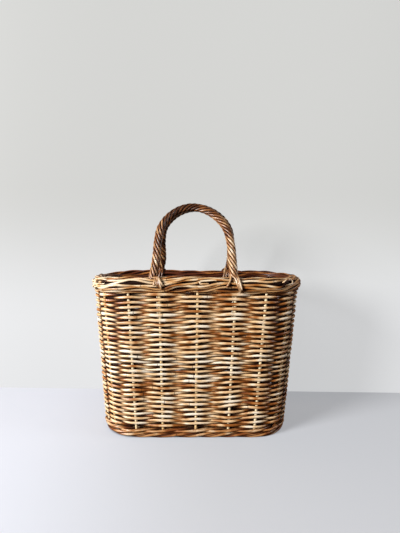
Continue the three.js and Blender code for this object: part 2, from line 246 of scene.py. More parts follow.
@dataclass(frozen=True)
class Wall:
    """The leaning wall between the base and the border, with the places of its stakes and base rods."""

    base: RoundedPlan = RoundedPlan(0.293, 0.110, 0.052)
    rim: RoundedPlan = RoundedPlan(0.321, 0.131, 0.053)
    border_height: float = 0.243
    quarter_shares: tuple[float, ...] = (0.0, 0.287, 0.52, 0.725, 0.865)
    base_level: float = 0.00901
    filler_rows: tuple[int, ...] = (4, 3)
    corner_lift: float = 0.0036
    lifted_x: Fade = Fade(-0.055, -0.09, 1.5)
    lifted_z: Fade = Fade(0.08, -0.08)
    lifted_depth: float = 0.03
    end_droop: float = 0.0032
    drooped_x: Fade = Fade(-0.105, -0.045, 1.2)
    drooped_z: Fade = Fade(0.12, 0.12)

    @property
    def stakes(self) -> int:
        """Number of stakes."""
        return 4 * len(self.quarter_shares)

    def places(self) -> Array:
        """Shares of the way round at which the stakes stand, and the full turn."""
        mirrored = [0.0] + [1 - share for share in reversed(self.quarter_shares[1:])]
        quarters = [self.quarter_shares, mirrored] * 2
        shares = [(number + share) / 4 for number, quarter in enumerate(quarters) for share in quarter]
        return np.array(shares + [1.0])

    def share_at(self, passed: Array) -> Array:
        """Share of the way round after a count of stakes passed."""
        return np.interp(np.mod(passed, self.stakes), np.arange(self.stakes + 1), self.places())

    def outward(self, shares: Array) -> Array:
        """Directions out of the wall."""
        flat = unit(self.base.trace(shares)[1] + self.rim.trace(shares)[1])
        return np.concatenate([flat, np.zeros(flat.shape[:-1] + (1,))], axis=-1)

    def point(self, shares: Values, heights: Values, offset: Values = 0.0) -> Array:
        """Points on the wall.

        Args:
            shares: Shares of the way round.
            heights: Heights above the ground.
            offset: Distance outward from the wall's middle.

        Returns:
            The points, one a row.
        """
        shares, heights, offset = np.broadcast_arrays(shares, heights, offset)
        climbed = (heights / self.border_height)[..., None]
        flat = self.base.trace(shares)[0] * (1 - climbed) + self.rim.trace(shares)[0] * climbed
        middle = np.concatenate([flat, heights[..., None]], axis=-1)
        return middle + self.outward(shares) * offset[..., None]

    def stake_point(self, stake: int, height: float) -> Array:
        """Point on a CAD stake's middle line at a height."""
        return self.point(self.places()[stake % self.stakes], height)

    def base_places(self) -> tuple[list[float], list[float]]:
        """X of the rods that cross the base, and Y of the rods that run along it."""
        side = len(self.quarter_shares)
        steps = range(-len(self.filler_rows), len(self.filler_rows) + 1)
        crossing = [float(self.stake_point(step, self.base_level)[0]) for step in steps]
        running = [float(self.stake_point(side + step, self.base_level)[1]) for step in steps]
        return crossing, running

    def base_row(self, long_rod: int) -> int:
        """Row of the base weave that a long rod takes, both counted from the middle."""
        return sum(rows + 1 for rows in self.filler_rows[:abs(long_rod)])

    def settled(self, points: Array) -> Array:
        """Moves points as the bag has sagged with use: one foot corner up, one end of the border down.

        Args:
            points: Points of a rod, one a row.

        Returns:
            The moved points.
        """
        x, y, z = points.T
        into_corner = self.lifted_x.at(x) * (y < self.lifted_depth) * self.lifted_z.at(z)
        into_end = self.drooped_x.at(x) * self.drooped_z.at(z)
        moved = points.copy()
        moved[:, 2] += self.corner_lift * into_corner - self.end_droop * into_end
        return moved


class NodeGraph:
    """Short ways to add and join shader nodes in one tree."""

    def __init__(self, tree: bpy.types.NodeTree) -> None:
        """Starts on a tree."""
        self.tree = tree

    @classmethod
    def emptied(cls, owner: bpy.types.Material | bpy.types.World) -> "NodeGraph":
        """Clears the nodes that a material or a world starts with.

        Args:
            owner: The material or the world.

        Returns:
            Its empty graph.
        """
        owner.use_nodes = True
        owner.node_tree.nodes.clear()
        return cls(owner.node_tree)

    def feed(self, node: bpy.types.Node, inputs: Inputs) -> None:
        """Joins sockets to a node's inputs, or sets plain values on them.

        Args:
            node: The node.
            inputs: Values or output sockets, by the name or the place of the input.
        """
        for label, value in inputs.items():
            socket = node.inputs[label]
            if isinstance(value, bpy.types.NodeSocket):
                self.tree.links.new(value, socket)
            else:
                socket.default_value = value

    def add(self, kind: str, inputs: Inputs | None = None, **settings: object) -> bpy.types.Node:
        """Adds a node.

        Args:
            kind: Its type in Blender.
            inputs: Values or output sockets for its inputs, by name or by place.
            settings: Its own settings.

        Returns:
            The node.
        """
        node = self.tree.nodes.new(kind)
        for label, value in settings.items():
            setattr(node, label, value)
        self.feed(node, inputs or {})
        return node

    def math(self, operation: str, *values: object, clamp: bool = False) -> bpy.types.NodeSocket:
        """Result of a sum on one to three values."""
        inputs = dict(enumerate(values))
        return self.add("ShaderNodeMath", inputs, operation=operation, use_clamp=clamp).outputs[0]

    def product(self, first: object, second: object) -> bpy.types.NodeSocket:
        """Product of two vectors, part by part."""
        return self.add("ShaderNodeVectorMath", {0: first, 1: second}, operation="MULTIPLY").outputs[0]

    def remap(
        self, value: object, low: object, high: object, to_low: float = 0.0, to_high: float = 1.0
    ) -> bpy.types.NodeSocket:
        """Value carried from one range to another, smoothly and held inside it."""
        inputs = {"Value": value, "From Min": low, "From Max": high, "To Min": to_low, "To Max": to_high}
        return self.add("ShaderNodeMapRange", inputs, interpolation_type="SMOOTHSTEP").outputs["Result"]

    def blend(self, factor: object, first: object, second: object) -> bpy.types.NodeSocket:
        """Colour between two others."""
        return self.add("ShaderNodeMix", {0: factor, 6: first, 7: second}, data_type="RGBA").outputs[2]

    def noise(
        self, place: object, stretch: tuple[float, ...], scale: object, detail: float, roughness: float
    ) -> bpy.types.NodeSocket:
        """Smooth noise that is drawn out along or across the rod.

        Args:
            place: Socket with the place in the rod.
            stretch: Factors on the place, a small one where the noise is long.
            scale: Fineness of the noise.
            detail: Count of its finer layers.
            roughness: Weight of the finer layers.

        Returns:
            The socket with its value.
        """
        stretched = self.product(place, stretch)
        inputs = {"Vector": stretched, "Scale": scale, "Detail": detail, "Roughness": roughness}
        return self.add("ShaderNodeTexNoise", inputs).outputs["Fac"]


def new_group(
    name: str, inputs: dict[str, Socket], outputs: dict[str, Socket]
) -> tuple[NodeGraph, dict[str, bpy.types.NodeSocket], bpy.types.Node]:
    """Starts a shader node group.

    Args:
        name: Its name.
        inputs: Kinds of its inputs, by name.
        outputs: Kinds of its outputs, by name.

    Returns:
        The group's graph, its input sockets by name, and its output node.
    """
    tree = bpy.data.node_groups.new(name, "ShaderNodeTree")
    for direction, sockets in (("INPUT", inputs), ("OUTPUT", outputs)):
        for label, kind in sockets.items():
            tree.interface.new_socket(name=label, in_out=direction, socket_type=kind.value)
    graph = NodeGraph(tree)
    entry = graph.add("NodeGroupInput")
    leave = graph.add("NodeGroupOutput")
    return graph, {label: entry.outputs[label] for label in inputs}, leave


class RattanEffects:
    """Node groups that every rattan finish shares, and how strong each effect is."""

    RING_LEAST = 0.2
    RING_STRAY = 0.6
    STREAK_SHARE = 0.22
    # Tone shifts of the painted shade on sheltered skin and on flanks.
    SHADE_TONE_SHARE = 0.38
    FLANK_SHARE = 0.3
    DARKER = (("Straw", 0.08, 0.42), ("Honey", 0.38, 0.68), ("Brown", 0.64, 1.0))
    RING_COVER = 0.85
    FLECK_COVER = 0.3
    # Painted shade, with some dirt: how dark and rough the skin gets at low light-and-wear levels.
    DARKEST_LIGHT_AND_WEAR = 0.04
    BRIGHTEST_LIGHT_AND_WEAR = 0.6
    SHADE_AND_DIRT_COVER = 0.97
    ROUGHNESS = 0.34
    STREAK_ROUGHNESS = 0.12
    SHADE_AND_DIRT_ROUGHNESS = 0.3
    RING_DEPTH = 1.5

    def __init__(self) -> None:
        """Builds the groups once."""
        self.grain = self.build_grain()
        self.rings = self.build_rings()
        self.flank = self.build_flank()
        self.skin = self.build_skin()

    @staticmethod
    def build_grain() -> bpy.types.NodeTree:
        """Long fibres, cloudy patches and small flecks that run with the rod."""
        graph, given, leave = new_group(
            "Rattan grain",
            {"Place": Socket.VECTOR, "Fibres": Socket.FLOAT, "Patches": Socket.FLOAT},
            dict.fromkeys(("Streak", "Patch", "Fleck"), Socket.FLOAT),
        )
        place = given["Place"]
        fibres = graph.noise(place, (1, 1, 0.035), given["Fibres"], detail=3.0, roughness=0.6)
        clouds = graph.noise(place, (0.35, 0.35, 1), given["Patches"], detail=2.0, roughness=0.55)
        flecks = graph.noise(place, (1, 1, 0.22), scale=420.0, detail=1.0, roughness=0.5)
        shown = {
            "Streak": graph.remap(fibres, low=0.3, high=0.7),
            "Patch": graph.remap(clouds, low=0.3, high=0.7),
            "Fleck": graph.remap(flecks, low=0.62, high=0.74),
        }
        graph.feed(leave, shown)
        return graph.tree

    def build_rings(self) -> bpy.types.NodeTree:
        """Growth rings, dark and thin, where the leaves once grew."""
        graph, given, leave = new_group(
            "Rattan growth rings",
            {"Place": Socket.VECTOR, "Spacing": Socket.FLOAT, "Width": Socket.FLOAT},
            {"Ring": Socket.FLOAT},
        )
        along = graph.add("ShaderNodeSeparateXYZ", {0: given["Place"]}).outputs["Z"]
        turns = graph.math("DIVIDE", along, given["Spacing"])
        number = graph.math("FLOOR", turns)
        chance = graph.add("ShaderNodeTexWhiteNoise", {"W": number}, noise_dimensions="1D").outputs["Value"]
        shifted = graph.math("MULTIPLY_ADD", chance, self.RING_STRAY, self.RING_LEAST)
        away = graph.math("SUBTRACT", graph.math("FRACT", turns), shifted)
        distance = graph.math("MULTIPLY", graph.math("ABSOLUTE", away), given["Spacing"])
        ring = graph.math("SUBTRACT", 1.0, graph.math("DIVIDE", distance, given["Width"]), clamp=True)
        graph.feed(leave, {"Ring": ring})
        return graph.tree

    @staticmethod
    def build_flank() -> bpy.types.NodeTree:
        """The sides of a rod that turn towards its neighbours, darkened as painted shade between the rods."""
        graph, given, leave = new_group(
            "Rattan flank",
            {"Place": Socket.VECTOR, "Inner": Socket.FLOAT, "Outer": Socket.FLOAT},
            {"Flank": Socket.FLOAT},
        )
        section = graph.product(given["Place"], (1, 1, 0))
        radius = graph.add("ShaderNodeVectorMath", {0: section}, operation="LENGTH").outputs["Value"]
        over = graph.math("ABSOLUTE", graph.add("ShaderNodeSeparateXYZ", {0: section}).outputs["Y"])
        facing = graph.math("DIVIDE", over, radius)
        graph.feed(leave, {"Flank": graph.remap(facing, given["Inner"], given["Outer"], 1.0, 0.0)})
        return graph.tree

    def build_skin(self) -> bpy.types.NodeTree:
        """Colour of a rod's skin, from pale straw to dark brown, darkened by painted shade and some dirt
        where it is sheltered or turns to its neighbours.
        """
        masks = ("Tone", "Patch", "Streak", "Fleck", "Ring", "Worn", "Flank", "Patchiness")
        colours = ("Pale", "Straw", "Honey", "Brown", "Seam")
        graph, given, leave = new_group(
            "Rattan skin",
            {**dict.fromkeys(masks, Socket.FLOAT), **dict.fromkeys(colours, Socket.COLOUR)},
            {"Color": Socket.COLOUR, **dict.fromkeys(("Roughness", "Gloss", "Height"), Socket.FLOAT)},
        )
        cloud = graph.math("MULTIPLY", graph.math("SUBTRACT", given["Patch"], 0.5), given["Patchiness"])
        line = graph.math("MULTIPLY", graph.math("SUBTRACT", given["Streak"], 0.5), self.STREAK_SHARE)
        # Painted shade: sheltered skin and flanks take a darker tone.
        shaded_tone = graph.math("MULTIPLY", graph.math("SUBTRACT", 1.0, given["Worn"]), self.SHADE_TONE_SHARE)
        shaded_tone = graph.math("MULTIPLY_ADD", given["Flank"], self.FLANK_SHARE, shaded_tone)
        tone = graph.math("ADD", graph.math("ADD", given["Tone"], cloud), graph.math("ADD", line, shaded_tone))
        colour = given["Pale"]
        for darker, low, high in self.DARKER:
            colour = graph.blend(graph.remap(tone, low, high), colour, given[darker])
        ring = graph.math("MULTIPLY", given["Ring"], self.RING_COVER)
        fleck = graph.math("MULTIPLY", given["Fleck"], self.FLECK_COVER)
        colour = graph.blend(graph.math("MAXIMUM", ring, fleck), colour, given["Seam"])
        # Painted shade, with some dirt: sheltered skin and flanks are mixed towards the dark mark colour.
        shade_and_dirt = graph.remap(given["Worn"], self.DARKEST_LIGHT_AND_WEAR, self.BRIGHTEST_LIGHT_AND_WEAR, self.SHADE_AND_DIRT_COVER, 0.0)
        shade_and_dirt = graph.math("MAXIMUM", shade_and_dirt, given["Flank"])
        rough = graph.math("MULTIPLY_ADD", given["Streak"], self.STREAK_ROUGHNESS, self.ROUGHNESS)
        groove = graph.math("MULTIPLY", given["Ring"], self.RING_DEPTH)
        shown = {
            "Color": graph.blend(shade_and_dirt, colour, given["Seam"]),
            "Roughness": graph.math("ADD", rough, graph.math("MULTIPLY", shade_and_dirt, self.SHADE_AND_DIRT_ROUGHNESS)),
            "Gloss": graph.math("SUBTRACT", 1.0, shade_and_dirt, clamp=True),
            "Height": graph.math("SUBTRACT", given["Streak"], groove),
        }
        graph.feed(leave, shown)
        return graph.tree


@dataclass(frozen=True)
class RattanFinish:
    """The finish of one kind of rod."""

    name: str
    pale: str = "fff1da"
    straw: str = "eec591"
    honey: str = "aa662a"
    brown: str = "5c260a"
    # Colour of growth rings and flecks, and of the painted shade in sheltered places.
    seam: str = "190501"
    patchiness: float = 0.6
    fibres: float = 900.0
    patches: float = 30.0
    ring_spacing: float = 0.21
    ring_width: float = 0.0009
    relief: float = 0.00025
    relief_strength: float = 0.6
    specular: float = 0.15
    varnish_roughness: float = 0.33
    # Painted shade on the flanks that turn to neighbouring rods.
    flank_shade: float = 0.92
    flank_inner: float = 0.0
    flank_outer: float = 0.62

    def build(self, effects: RattanEffects) -> bpy.types.Material:
        """Makes the material.

        Args:
            effects: The shared node groups.

        Returns:
            The material.
        """
        material = bpy.data.materials.new(self.name)
        graph = NodeGraph.emptied(material)
        place = graph.add("ShaderNodeAttribute", attribute_name="rod_place").outputs["Vector"]
        tone = graph.add("ShaderNodeAttribute", attribute_name="rod_tone").outputs["Fac"]
        # Light-and-wear level: low values are painted shade in the weave, with some dirt.
        worn = graph.add("ShaderNodeAttribute", attribute_name="rod_wear").outputs["Fac"]
        given = {"Place": place, "Fibres": self.fibres, "Patches": self.patches}
        grain = graph.add("ShaderNodeGroup", given, node_tree=effects.grain).outputs
        given = {"Place": place, "Spacing": self.ring_spacing, "Width": self.ring_width}
        rings = graph.add("ShaderNodeGroup", given, node_tree=effects.rings).outputs
        given = {"Place": place, "Inner": self.flank_inner, "Outer": self.flank_outer}
        flank = graph.add("ShaderNodeGroup", given, node_tree=effects.flank).outputs
        given = {
            # Painted shade between neighbouring rods.
            "Flank": graph.math("MULTIPLY", flank["Flank"], self.flank_shade),
            "Tone": tone,
            "Worn": worn,
            "Patch": grain["Patch"],
            "Streak": grain["Streak"],
            "Fleck": grain["Fleck"],
            "Ring": rings["Ring"],
            "Patchiness": self.patchiness,
            "Pale": linear(self.pale),
            "Straw": linear(self.straw),
            "Honey": linear(self.honey),
            "Brown": linear(self.brown),
            "Seam": linear(self.seam),
        }
        skin = graph.add("ShaderNodeGroup", given, node_tree=effects.skin).outputs
        relief = {"Strength": self.relief_strength, "Distance": self.relief, "Height": skin["Height"]}
        look = {
            "Base Color": skin["Color"],
            "Roughness": skin["Roughness"],
            "Normal": graph.add("ShaderNodeBump", relief).outputs["Normal"],
            "Specular IOR Level": self.specular,
            "Coat Weight": skin["Gloss"],
            "Coat Roughness": self.varnish_roughness,
        }
        surface = graph.add("ShaderNodeBsdfPrincipled", look)
        graph.add("ShaderNodeOutputMaterial", {"Surface": surface.outputs["BSDF"]})
        return material


class FinishBox:
    """The materials of the bag, one for each slot."""

    def __init__(self) -> None:
        """Builds every finish."""
        effects = RattanEffects()
        stake = dict(pale="fbe8c0", straw="edcb90", patchiness=0.3, flank_shade=0.0)
        border = dict(pale="f8e2c0", straw="d8a76e", patches=22.0, flank_shade=0.96, flank_outer=0.85)
        foot = dict(pale="e2c29a", straw="bd844e", honey="8a4c22", brown="4e220c", flank_shade=0.95)
        rope = dict(straw="d2a878", honey="8a5429", brown="46230f", flank_shade=0.97, flank_outer=0.95)
        core = dict(straw="e2bd86", honey="7d4f2a", flank_shade=0.0)
        finishes = {
            Slot.WEAVER: RattanFinish("Weaver rattan"),
            Slot.STAKE: RattanFinish("Stake rattan", **stake),
            Slot.BORDER_ROD: RattanFinish("Border rattan", **border),
            Slot.FOOT_ROD: RattanFinish("Foot rattan", **foot),
            Slot.HANDLE_ROPE: RattanFinish("Handle rattan", **rope),
            Slot.HANDLE_CORE: RattanFinish("Handle core rattan", **core),
        }
        self.materials = {slot: finish.build(effects) for slot, finish in finishes.items()}

    def of(self, slot: Slot) -> bpy.types.Material:
        """Material of a slot."""
        return self.materials[slot]


class Ring:
    """Columns of the table that holds one ring of a rod's skin in each row."""

    PLACE = slice(0, 3)
    AHEAD = slice(3, 6)
    HINT = slice(6, 9)
    LOOKS = slice(9, 14)
    RADIUS = slice(10, 11)


@dataclass
class RodBundle:
    """Round rods that are skinned together into one piece."""

    name: str
    nodes: tuple[str, ...]
    slot: Slot
    flatness: float = 0.0
    sides: int = 8
    grain_shift: float = 1.7
    tip_reach: float = 0.3
    tip_size: float = 0.6
    points: list[Array] = field(default_factory=list)
    faces: list[tuple[int, ...]] = field(default_factory=list)
    places: list[Array] = field(default_factory=list)
    tones: list[Array] = field(default_factory=list)
    light_and_wear_rows: list[Array] = field(default_factory=list)
    count: int = 0
    rods: int = 0

    @classmethod
    def of_node(cls, node: str, slot: Slot, flatness: float = 0.0) -> "RodBundle":
        """Empty bundle for the rods that stand for one CAD node."""
        return cls(f"rod_{node}", (node,), slot, flatness)

    def add(
        self,
        path: Array,
        radius: Values,
        tone: Values,
        hint: Array,
        worn: Values = 1.0,
        light_and_wear_behind: Values | None = None,
        closed: bool = False,
    ) -> None:
        """Adds one rod.

        Args:
            path: Points of its middle line. A closed path doesn't repeat its first point.
            radius: Its radius, one number or one for each point.
            tone: From 0, palest, to 1, darkest, one number or one for each point.
            hint: A direction out of the weave, one or one for each point.
            worn: From 0, dark with painted shade, to 1, lit and worn, for the skin that faces out, one or one
                for each point.
            light_and_wear_behind: The same for the skin that faces in, or None where it doesn't differ.
            closed: Whether the rod closes on itself.
        """
        ahead = np.roll(path, -1, axis=0) - np.roll(path, 1, axis=0) if closed else np.gradient(path, axis=0)
        looks = [travelled(path), radius, tone, worn, worn if light_and_wear_behind is None else light_and_wear_behind]
        looks = [np.broadcast_to(look, len(path)) for look in looks]
        rings = np.column_stack([path, ahead, np.broadcast_to(hint, path.shape), *looks])
        if not closed:
            rings = self.with_round_ends(rings)
        ahead = unit(rings[:, Ring.AHEAD])
        up = square_to(ahead, rings[:, Ring.HINT])
        side = np.cross(up, ahead)
        run, radii, tones, front, rear = (column[:, None] for column in rings[:, Ring.LOOKS].T)
        angles = np.arange(self.sides) * TURN / self.sides
        across = radii * np.cos(angles) * (1 + self.flatness / 2)
        over = radii * np.sin(angles) * (1 - self.flatness)
        skin = rings[:, None, Ring.PLACE] + side[:, None] * across[..., None] + up[:, None] * over[..., None]
        along = np.broadcast_to(run + self.grain_shift * self.rods, across.shape)
        # Painted shade: each point blends the outward and inward light-and-wear levels by which way the skin
        # faces.
        facing = 0.5 + 0.5 * np.sin(angles)
        self.points.append(skin.reshape(-1, 3))
        self.places.append(np.stack([across, over, along], axis=-1).reshape(-1, 3))
        self.tones.append(np.repeat(tones, self.sides))
        self.light_and_wear_rows.append((front * facing + rear * (1 - facing)).ravel())
        self.join_rings(len(rings), closed)
        self.count += len(rings) * self.sides
        self.rods += 1

    def with_round_ends(self, rings: Array) -> Array:
        """Adds a smaller ring just past both ends, which rounds the cut edges.

        Args:
            rings: The rings of the rod.

        Returns:
            The rings with one more at each end.
        """
        tips = rings[[0, -1]]
        outward = unit(tips[:, Ring.AHEAD]) * np.array([[-1.0], [1.0]])
        tips[:, Ring.PLACE] += outward * tips[:, Ring.RADIUS] * self.tip_reach
        tips[:, Ring.RADIUS] *= self.tip_size
        return np.concatenate([tips[:1], rings, tips[1:]])

    def join_rings(self, size: int, closed: bool) -> None:
        """Adds the faces between the rings of the newest rod.

        Args:
            size: Number of rings.
            closed: Whether the last ring joins the first.
        """
        side = np.arange(self.sides)
        after = np.roll(side, -1)
        here = self.count + self.sides * np.arange(size)[:, None]
        ahead = np.roll(here, -1, axis=0)
        quads = np.stack([here + side, here + after, ahead + after, ahead + side], axis=-1)
        if not closed:
            quads = quads[:-1]
        self.faces.extend(map(tuple, quads.reshape(-1, 4).tolist()))
        if not closed:
            self.faces.append(tuple((here[0] + side[::-1]).tolist()))
            self.faces.append(tuple((here[-1] + side).tolist()))

    def finish(self, finishes: FinishBox) -> None:
        """Makes the piece, dresses it and puts it in the frame.

        Args:
            finishes: The materials.
        """
        mesh = bpy.data.meshes.new(self.name)
        mesh.from_pydata(np.concatenate(self.points).tolist(), [], self.faces)
        mesh.polygons.foreach_set("use_smooth", np.ones(len(self.faces), bool))
        facts = (
            ("rod_place", "FLOAT_VECTOR", "vector", self.places),
            ("rod_tone", "FLOAT", "value", self.tones),
            ("rod_wear", "FLOAT", "value", self.light_and_wear_rows),
        )
        for label, kind, key, values in facts:
            fact = mesh.attributes.new(label, kind, "POINT")
            fact.data.foreach_set(key, np.concatenate(values).ravel())
        mesh.materials.append(finishes.of(self.slot))
        piece = new_object(self.name, mesh)
        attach(piece, "root")
        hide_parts(*self.nodes)
        LOG.info("%s: %d rods, %d points", self.name, self.rods, self.count)


@dataclass
class WovenPart:
    """A sub-assembly of the bag, with the wall that it follows and its materials."""

    wall: Wall
    finishes: FinishBox


@dataclass
class Stakes(WovenPart):
    """Upright rods of the wall, each bent at the foot to cross the base and rise on the other side."""

    radius: float = 0.0023
    outset: Fade = Fade(0.01501, 0.01, amount=0.0009)
    top_above_border: float = 0.004
    base_lift: float = 0.0042
    bend: float = 0.007
    bend_shares: tuple[float, ...] = (0.12, 0.5, 1.2)
    bend_rises: tuple[float, ...] = (0.3, 0.0, 0.0)
    wall_points: int = 24
    tones: tuple[float, float] = (0.05, 0.5)
    # Painted shade: stakes are darker low down, where they run through the base under the bag.
    shaded_level: float = 0.35
    lit: Fade = Fade(0.012, 0.01, amount=0.65)
    seed: int = 11

    def crossing(self, place: float, cross_places: list[float], over_first: bool) -> Array:
        """Points of a long rod over and under the cross rods, with a level one between each two.

        Args:
            place: The rod's Y.
            cross_places: X of the cross rods.
            over_first: Whether it goes over the first cross rod.

        Returns:
            The points, one a row.
        """
        count = np.arange(2 * len(cross_places) - 1) / 2
        x = np.interp(count, np.arange(len(cross_places)), cross_places)
        lift = self.base_lift * np.cos(math.pi * count) * (1 if over_first else -1)
        return np.stack([x, np.full_like(x, place), self.wall.base_level + lift], axis=1)

    def corner(self, foot: Array, inward: Array) -> list[Array]:
        """Points of the bend from the wall into the base.

        Args:
            foot: Where the wall's line meets the base.
            inward: Direction into the base.

        Returns:
            The points, from the wall inwards.
        """
        steps = zip(self.bend_shares, self.bend_rises)
        return [foot + self.bend * (share * inward + rise * UPWARD) for share, rise in steps]

    def pair_path(self, first: int, second: int, inward: Array, crossing: Array) -> Array:
        """Middle line of a rod up one wall, across the base and up the other wall.

        Args:
            first: Stake at its start.
            second: Stake at its end.
            inward: Direction from the first to the second, in the base.
            crossing: Points on the way across the base, one a row.

        Returns:
            The points, one a row.
        """
        wall = self.wall
        heights = np.linspace(
            wall.border_height + self.top_above_border, wall.base_level + self.bend, self.wall_points
        )
        outset = self.outset.at(heights)
        places = wall.places()
        down, up = (wall.point(places[k % wall.stakes], heights, outset) for k in (first, second))
        near = self.corner(wall.stake_point(first, wall.base_level), inward)
        far = self.corner(wall.stake_point(second, wall.base_level), -inward)
        return wall.settled(softened(np.array([*down, *near, *crossing, *far[::-1], *up[::-1]]), 2))

    def build(self) -> None:
        """Makes the ten rods."""
        chance = np.random.default_rng(self.seed)
        wall = self.wall
        side = len(wall.quarter_shares)
        half = len(wall.filler_rows)
        steps = range(-half, half + 1)
        cross_places, long_places = wall.base_places()
        for number, step in enumerate(steps, 1):
            path = self.pair_path(step, 2 * side - step, CROSSWISE, np.empty((0, 3)))
            self.add_rod(f"cross_stake_{number}", path, LENGTHWISE, chance)
        for number, (step, place) in enumerate(zip(steps, long_places), 1):
            crossing = self.crossing(place, cross_places, wall.base_row(step) % 2 == 0)
            path = self.pair_path(3 * side - step, side + step, LENGTHWISE, crossing)
            self.add_rod(f"long_stake_{number}", path, CROSSWISE, chance)

    def add_rod(self, node: str, path: Array, hint: Array, chance: Chance) -> None:
        """Makes one rod as a piece of its own.

        Args:
            node: The CAD node that it stands for.
            path: Its middle line.
            hint: A direction square to it.
            chance: Source of its tone.
        """
        bundle = RodBundle.of_node(node, Slot.STAKE)
        # Painted shade on the stakes in the base.
        worn = self.shaded_level + self.lit.at(path[:, 2])
        bundle.add(path, self.radius, chance.uniform(*self.tones), hint, worn)
        bundle.finish(self.finishes)


@dataclass
class Base(WovenPart):
    """The woven base: thin rods that run to and fro between the long rods."""

    radius: float = 0.0021
    lift: float = 0.0042
    level_end: float = 0.02
    end_inset: float = 0.0036
    edge_gap: float = 0.0044
    row_points: int = 66
    tones: tuple[float, float] = (0.3, 0.6)
    # Painted shade: the base rods keep a low light-and-wear level under and inside the bag.
    worn: float = 0.35
    seed: int = 23

    def half_length(self, y: float) -> float:
        """Half length of a row of the base.

        Args:
            y: Its place.

        Returns:
            The distance from its middle to its end.
        """
        plan = self.wall.base
        into_corner = max(abs(y) - (plan.depth / 2 - plan.corner), 0.0)
        return plan.length / 2 - plan.corner + math.sqrt(plan.corner**2 - into_corner**2) - self.end_inset

    def row_path(self, y: float, end: float, over_first: bool, cross_places: list[float]) -> Array:
        """One pass of a thin rod along the base.

        Args:
            y: Its place.
            end: Half its length.
            over_first: Whether it goes over the first cross rod.
            cross_places: X of the cross rods.

        Returns:
            The points, one a row.
        """
        x = np.linspace(-end, end, self.row_points)
        count = np.interp(x, cross_places, np.arange(len(cross_places)))
        swing = np.cos(math.pi * count) * (1 if over_first else -1)
        beyond = Fade(cross_places[-1], self.level_end).at(np.abs(x))
        z = self.wall.base_level + self.lift * swing * (1 - beyond)
        return np.stack([x, np.full_like(x, y), z], axis=1)

    def build(self) -> None:
        """Makes the four bands of thin rods, the outer ones with a row along the edge."""
        chance = np.random.default_rng(self.seed)
        cross_places, long_places = self.wall.base_places()
        filler_rows = self.wall.filler_rows
        middle = len(filler_rows)
        for face in Face:
            for band, rows in enumerate(filler_rows):
                near = long_places[middle + face.value * band]
                far = long_places[middle + face.value * (band + 1)]
                passes = []
                for row in range(1, rows + 1):
                    y = near + (far - near) * row / (rows + 1)
                    over_first = (self.wall.base_row(band) + row) % 2 == 0
                    path = self.row_path(y, self.half_length(far), over_first, cross_places)
                    passes.append(path[::-1] if row % 2 == 0 else path)
                paths = [softened(np.concatenate(passes), 1)]
                if band + 1 == len(filler_rows):
                    y = far + face.value * self.edge_gap
                    paths.append(self.row_path(y, self.half_length(y), True, cross_places))
                bundle = RodBundle.of_node(f"base_filler_{face.name.lower()}_{band + 1}", Slot.WEAVER)
                for path in paths:
                    bundle.add(path, self.radius, chance.uniform(*self.tones), UPWARD, self.worn)
                bundle.finish(self.finishes)


def round_roll(outward: Array, angle: Array) -> Array:
    """Directions out of a roll that goes round the bag, at angles from straight out towards the top."""
    return np.concatenate([outward * np.cos(angle)[:, None], np.sin(angle)[:, None]], axis=1)


